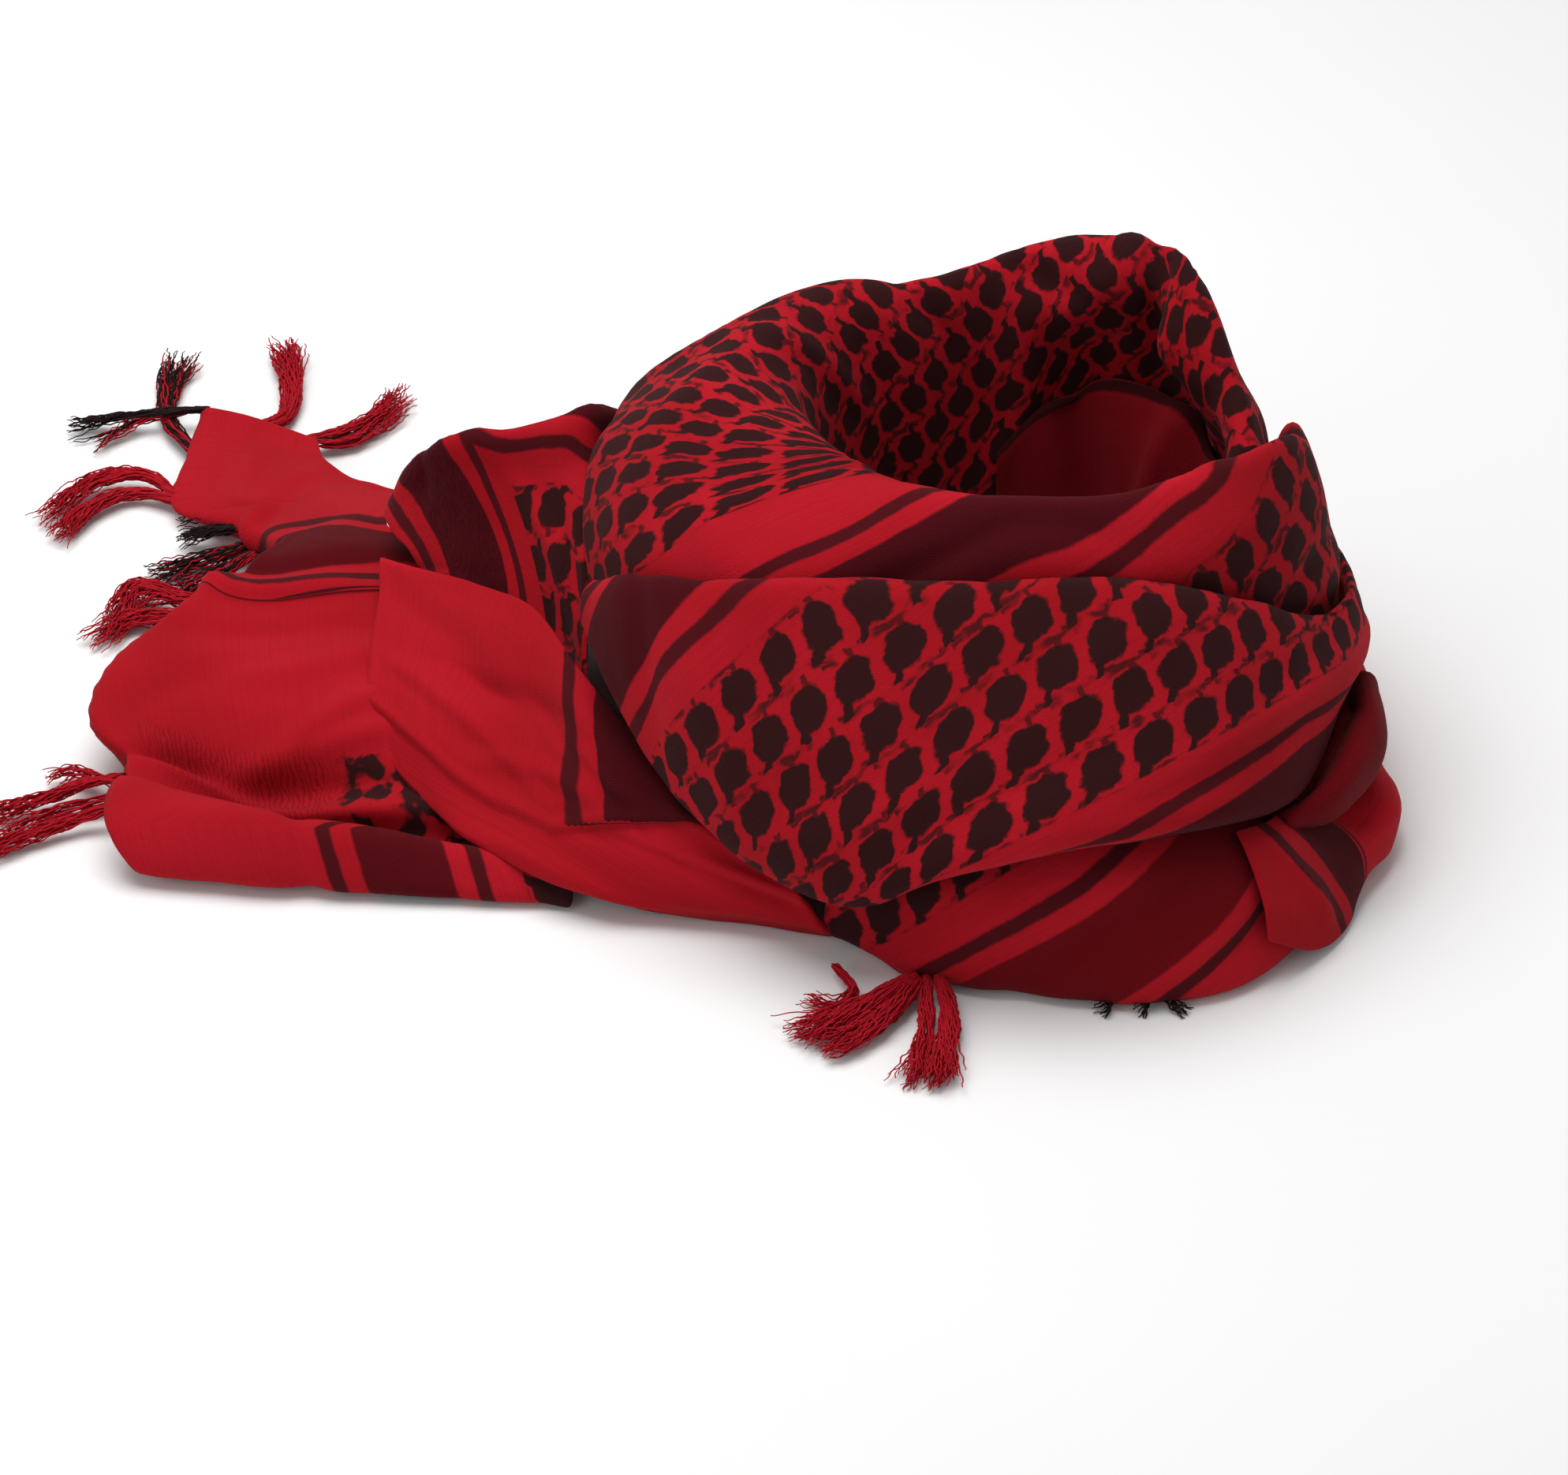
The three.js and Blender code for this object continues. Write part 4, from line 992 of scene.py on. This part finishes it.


# --- Fringe -----------------------------------------------------------------------------------------
# Knotted tassels of the warp ends: each is a bundle of loose cotton threads, bound at its root by a
# knot, lying on the table and fraying at its tip.
def fringe_thread():
    """Loose cotton thread: each thread's own shade from crimson to black, with a fine twist."""
    g = Graph("fringe_thread")
    shade = g.node("ShaderNodeAttribute", {"attribute_name": "shade"}, output=2)
    place = g.node("ShaderNodeTexCoord", output=3)
    twist = g.noise(place, 900.0, 2.0)
    red = g.mix(twist, (0.27, 0.003, 0.009, 1), (0.47, 0.010, 0.022, 1))
    colour = g.mix(g.step(shade, 0.25, 0.75), (0.016, 0.008, 0.008, 1), red)
    return g.finish(colour, 0.7 + twist * 0.2, twist, 0.3, 0.0003, Specular_IOR_Level=0.1)


JOINTS, SIDES = 40, 4  # rows of points along a thread, and points round it
RADIUS = 0.46  # of a thread at its root, mm
BOUND = 1.4  # radius of a strand at its knot, mm
RISE = 4.2  # most that a strand opens upwards, mm
LOWEST = 0.6  # least height of a thread's middle above the table, mm


def tassel(name, table, seed, material, loose=1.0):
    """Strands of threads, one row of the table each: how many threads, how wide they spread in mm, the
    share of black ones, and the strand's line. Thread k keeps its own place in the strand's flattened round
    section, which opens from the root; it is crimped in two waves of its own and strays at its tip, more
    or less as it is `loose`. Each thread is a thin tube, with its two ends closed."""
    draw = np.random.default_rng(seed)
    share = np.linspace(0, 1, JOINTS)
    angle = np.linspace(0, 2 * np.pi, SIDES, endpoint=False)
    tubes, tones = [], []
    for row in table.strip().splitlines()[1:]:
        threads, wide, dark, *line = map(float, row.split())
        count, corners = int(threads), np.array(line).reshape(-1, 3)
        gaps = np.linalg.norm(np.diff(corners, axis=0), axis=1)
        knots = np.concatenate([[0], np.cumsum(gaps)])
        middle = smooth(knots, corners, share * knots[-1])
        ahead = np.gradient(middle, axis=0)
        ahead /= np.linalg.norm(ahead, axis=1, keepdims=True)
        side = np.cross(ahead, [0, 0, 1.0])
        side /= np.linalg.norm(side, axis=1, keepdims=True)
        up = np.cross(side, ahead)
        each = lambda low, high: draw.uniform(low, high, (count, 1))
        turn, ring = each(0, 2 * np.pi), np.sqrt(each(0.02, 1))
        spread = BOUND + (wide / 2 - BOUND) * np.sqrt(share) + 2.2 * share**6
        stray = draw.normal(0, 1.5, (count, 1)) * share**2.5 * loose
        stray = stray * np.where(each(0, 1) > 0.88, 3.0, 1.0)
        crimp = lambda size, short, long: (
            size * each(0.5, 1.3) * np.sin(share * knots[-1] / each(short, long) * 2 * np.pi + each(0, 6.3))
        )
        opening = 0.3 + 0.7 * share
        aside = ring * np.cos(turn + share * 2.2) * spread + stray
        aside = aside + (crimp(0.4, 5, 9) + crimp(0.9, 14, 30)) * opening
        above = ring * np.sin(turn + share * 2.2) * np.minimum(spread, RISE) * 0.85
        above = above + (crimp(0.4, 5, 9) + crimp(0.7, 14, 30)) * opening
        place = np.clip(share * each(0.82, 1.0), 0, 1) * (JOINTS - 1)
        low = np.clip(place.astype(int), 0, JOINTS - 2)
        part = (place - low)[..., None]
        along = lambda what: what[low] * (1 - part) + what[low + 1] * part
        centre = along(middle) + along(side) * aside[..., None] + along(up) * above[..., None]
        centre[..., 2] = np.maximum(centre[..., 2], LOWEST)
        thick = RADIUS * (1 - 0.45 * share**5)[:, None]
        tubes.append(
            centre[:, :, None]
            + along(side)[:, :, None] * (np.cos(angle) * thick)[None, ..., None]
            + along(up)[:, :, None] * (np.sin(angle) * thick)[None, ..., None]
        )
        black = draw.uniform(0, 1, count) < dark
        tones.append(np.where(black, draw.uniform(0.0, 0.3, count), draw.uniform(0.62, 1.0, count)))
    tube, tone = np.concatenate(tubes), np.concatenate(tones)
    index = np.arange(tube.size // 3).reshape(tube.shape[:3])
    after = np.roll(index, -1, 2)
    sides = np.stack([index[:, :-1], after[:, :-1], after[:, 1:], index[:, 1:]], -1).reshape(-1, SIDES)
    made = mesh_object(name, tube.reshape(-1, 3), np.concatenate([sides, index[:, 0, ::-1], index[:, -1]]))
    shade = made.data.attributes.new("shade", "FLOAT", "POINT")
    shade.data.foreach_set("value", np.repeat(tone, JOINTS * SIDES).astype(np.float32))
    made.data.materials.append(material)
    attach(made, "root")
    return made


thread = fringe_thread()
LEFT_TASSELS = dict(
    tassel_corner="""
    threads  wide  dark         root         near         far         tip
         33     5   1.0  -374 246 11  -392 243 12  -420 244 8  -443 241 5
         18     8   0.3  -384 245 11  -404 243  8  -420 234 5  -432 224 4
    """,
    tassel_edge="""
    threads  wide  dark        root        near         far         tip
         33     6   0.6  -378 212 8  -393 240 6  -398 271 6  -396 304 5
         33     7   0.4  -378 216 8  -392 242 7  -394 272 5  -387 303 5
    """,
    tassel_hook="""
    threads  wide  dark         root        near         far         tip
         90    12   0.0  -352 232 10  -339 248 6  -339 279 6  -345 313 6
    """,
    tassel_stray="""
    threads  wide  dark         root        near         far         tip
         45     8   0.0  -337 219 10  -316 229 8  -298 246 6  -283 273 5
         24    10   0.1  -330 222 10  -310 226 6  -296 240 5  -282 262 5
    """,
    tassel_double="""
    threads  wide  dark        root        near         far         tip
         54     9   0.0  -381 174 9  -402 196 8  -426 190 7  -447 160 5
         54    10   0.0  -381 174 8  -404 184 6  -424 172 6  -439 148 5
    """,
    tassel_dark="""
    threads  wide  dark         root         near          far         tip
         45     6   1.0  -336 146 16  -350 147 13  -366 148 10  -382 146 6
         27     7   0.9  -344 152 11  -358 158 10  -372 164  8  -384 168 5
         39    12   0.7  -340 137 12  -356 133  9  -376 127  6  -394 118 4
         39    12   0.6  -344 128 12  -354 124  8  -368 116  6  -384 107 4
    """,
    tassel_looped="""
    threads  wide  dark        root        near         far        tip
         69    10   0.0  -348 73 20  -374 92 12  -396 106 8  -407 80 5
         54    12   0.0  -350 70 18  -378 82  9  -400  84 6  -414 66 5
         30    10   0.0  -352 78 18  -372 92 10  -388  98 8  -398 88 6
    """,
    tassel_left="""
    threads  wide  dark         root        near         far         tip
         39     7   0.0  -388 -38 12  -405 -40 9  -426 -50 7  -452 -62 5
         39     8   0.0  -386 -58 12  -407 -64 8  -428 -74 6  -452 -88 5
         21     6   0.0  -390 -46 12  -402 -36 9  -414 -30 7  -424 -34 5
         21     9   0.0  -388 -50 10  -406 -52 6  -424 -60 5  -444 -74 4
    """,
)
FRONT_TASSELS = dict(
    tassel_front_left="""
    threads  wide  dark        root        near         far          tip
         90    13   0.0  -50 -170 9  -66 -184 8  -84 -196 7  -103 -206 5
         69    13   0.0  -48 -172 8  -62 -192 7  -75 -204 6   -92 -212 5
         21     6   0.0  -84 -160 6  -76 -176 6  -84 -184 4   -98 -180 4
    """,
    tassel_front_right="""
    threads  wide  dark        root        near         far         tip
         84    10   0.0  -41 -168 9  -37 -192 7  -39 -216 6  -42 -238 5
         45     9   0.0  -46 -170 8  -47 -198 6  -51 -218 5  -57 -235 4
    """,
)
# three short ends of black thread below the front hem, which stand for no node
tassel(
    "foot_threads",
    """
    threads  wide  dark       root       near        far        tip
         12     6   1.0  32 -174 4  30 -179 3  28 -184 3  25 -188 2
         10     5   1.0  44 -176 4  45 -181 3  43 -185 3  42 -189 2
         12     6   1.0  52 -174 4  54 -179 3  57 -184 3  62 -187 2
    """,
    seed=39,
    material=thread,
    loose=0.6,
)
for number, (node, table) in enumerate({**LEFT_TASSELS, **FRONT_TASSELS}.items()):
    tassel(node + "_threads", table, seed=40 + number, material=thread)
    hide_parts(node)


# --- Table, light and camera ------------------------------------------------------------------------
# A plain pale table under soft studio light. They aren't part of the scarf.
REACH = 6.0  # of the table to each side, m
floor_mesh = bpy.data.meshes.new("table")
floor_mesh.from_pydata(
    [(-REACH, -REACH, 0), (REACH, -REACH, 0), (REACH, REACH, 0), (-REACH, REACH, 0)], [], [(0, 1, 2, 3)]
)
table = bpy.data.objects.new("table", floor_mesh)
bpy.context.scene.collection.objects.link(table)
pale = Graph("pale_table")
grain = pale.noise(pale.node("ShaderNodeTexCoord", output=3), 3.0, 2.0)
tone = pale.mix(grain, (0.80, 0.80, 0.80, 1), (0.84, 0.84, 0.84, 1))
paper = {"Base Color": tone, "Roughness": 0.9, "Specular IOR Level": 0.1}
paper = pale.node("ShaderNodeBsdfPrincipled", {}, paper)
pale.node("ShaderNodeOutputMaterial", {}, {"Surface": paper})
floor_mesh.materials.append(pale.material)

world = bpy.data.worlds.new("studio")
world.use_nodes = True
background = world.node_tree.nodes["Background"].inputs
background["Color"].default_value = (1, 1, 1, 1)
background["Strength"].default_value = 0.42
bpy.context.scene.world = world
# each light: its name, its place and what it points at in m, the side of its square in m, and its watts
for name, place, aim, side, watts in (
    ("over", (-0.25, 0.15, 1.7), (0, 0, 0), 1.4, 31),
    ("front_left", (-1.3, -1.5, 1.1), (0, 0, 0.05), 1.2, 7),
):
    light = bpy.data.lights.new(name, "AREA")
    light.shape, light.size, light.energy = "SQUARE", side, watts
    lamp = bpy.data.objects.new(name, light)
    lamp.location = place
    lamp.rotation_mode = "QUATERNION"
    lamp.rotation_quaternion = (Vector(place) - Vector(aim)).to_track_quat("Z", "Y")
    bpy.context.scene.collection.objects.link(lamp)

ELEVATION = np.radians(37)
DISTANCE = 2.600  # from the camera to the middle of the view, m
VIEW_WIDTH = 0.6855  # of the picture at that distance, m
SENSOR = 36.0  # mm
seen = np.array([-0.1048, 0.00169, 0.00224]) + NECK / 1000  # the middle of the view, m
camera = bpy.data.objects.new("camera", bpy.data.cameras.new("camera"))
camera.data.sensor_width = SENSOR
camera.data.lens = SENSOR * DISTANCE / VIEW_WIDTH
camera.data.clip_start, camera.data.clip_end = 0.05, 40.0
camera.location = seen + DISTANCE * np.array([0, -np.cos(ELEVATION), np.sin(ELEVATION)])
camera.rotation_euler = (np.pi / 2 - ELEVATION, 0, 0)
bpy.context.scene.collection.objects.link(camera)
bpy.context.scene.camera = camera
bpy.context.scene.view_settings.view_transform = "Standard"
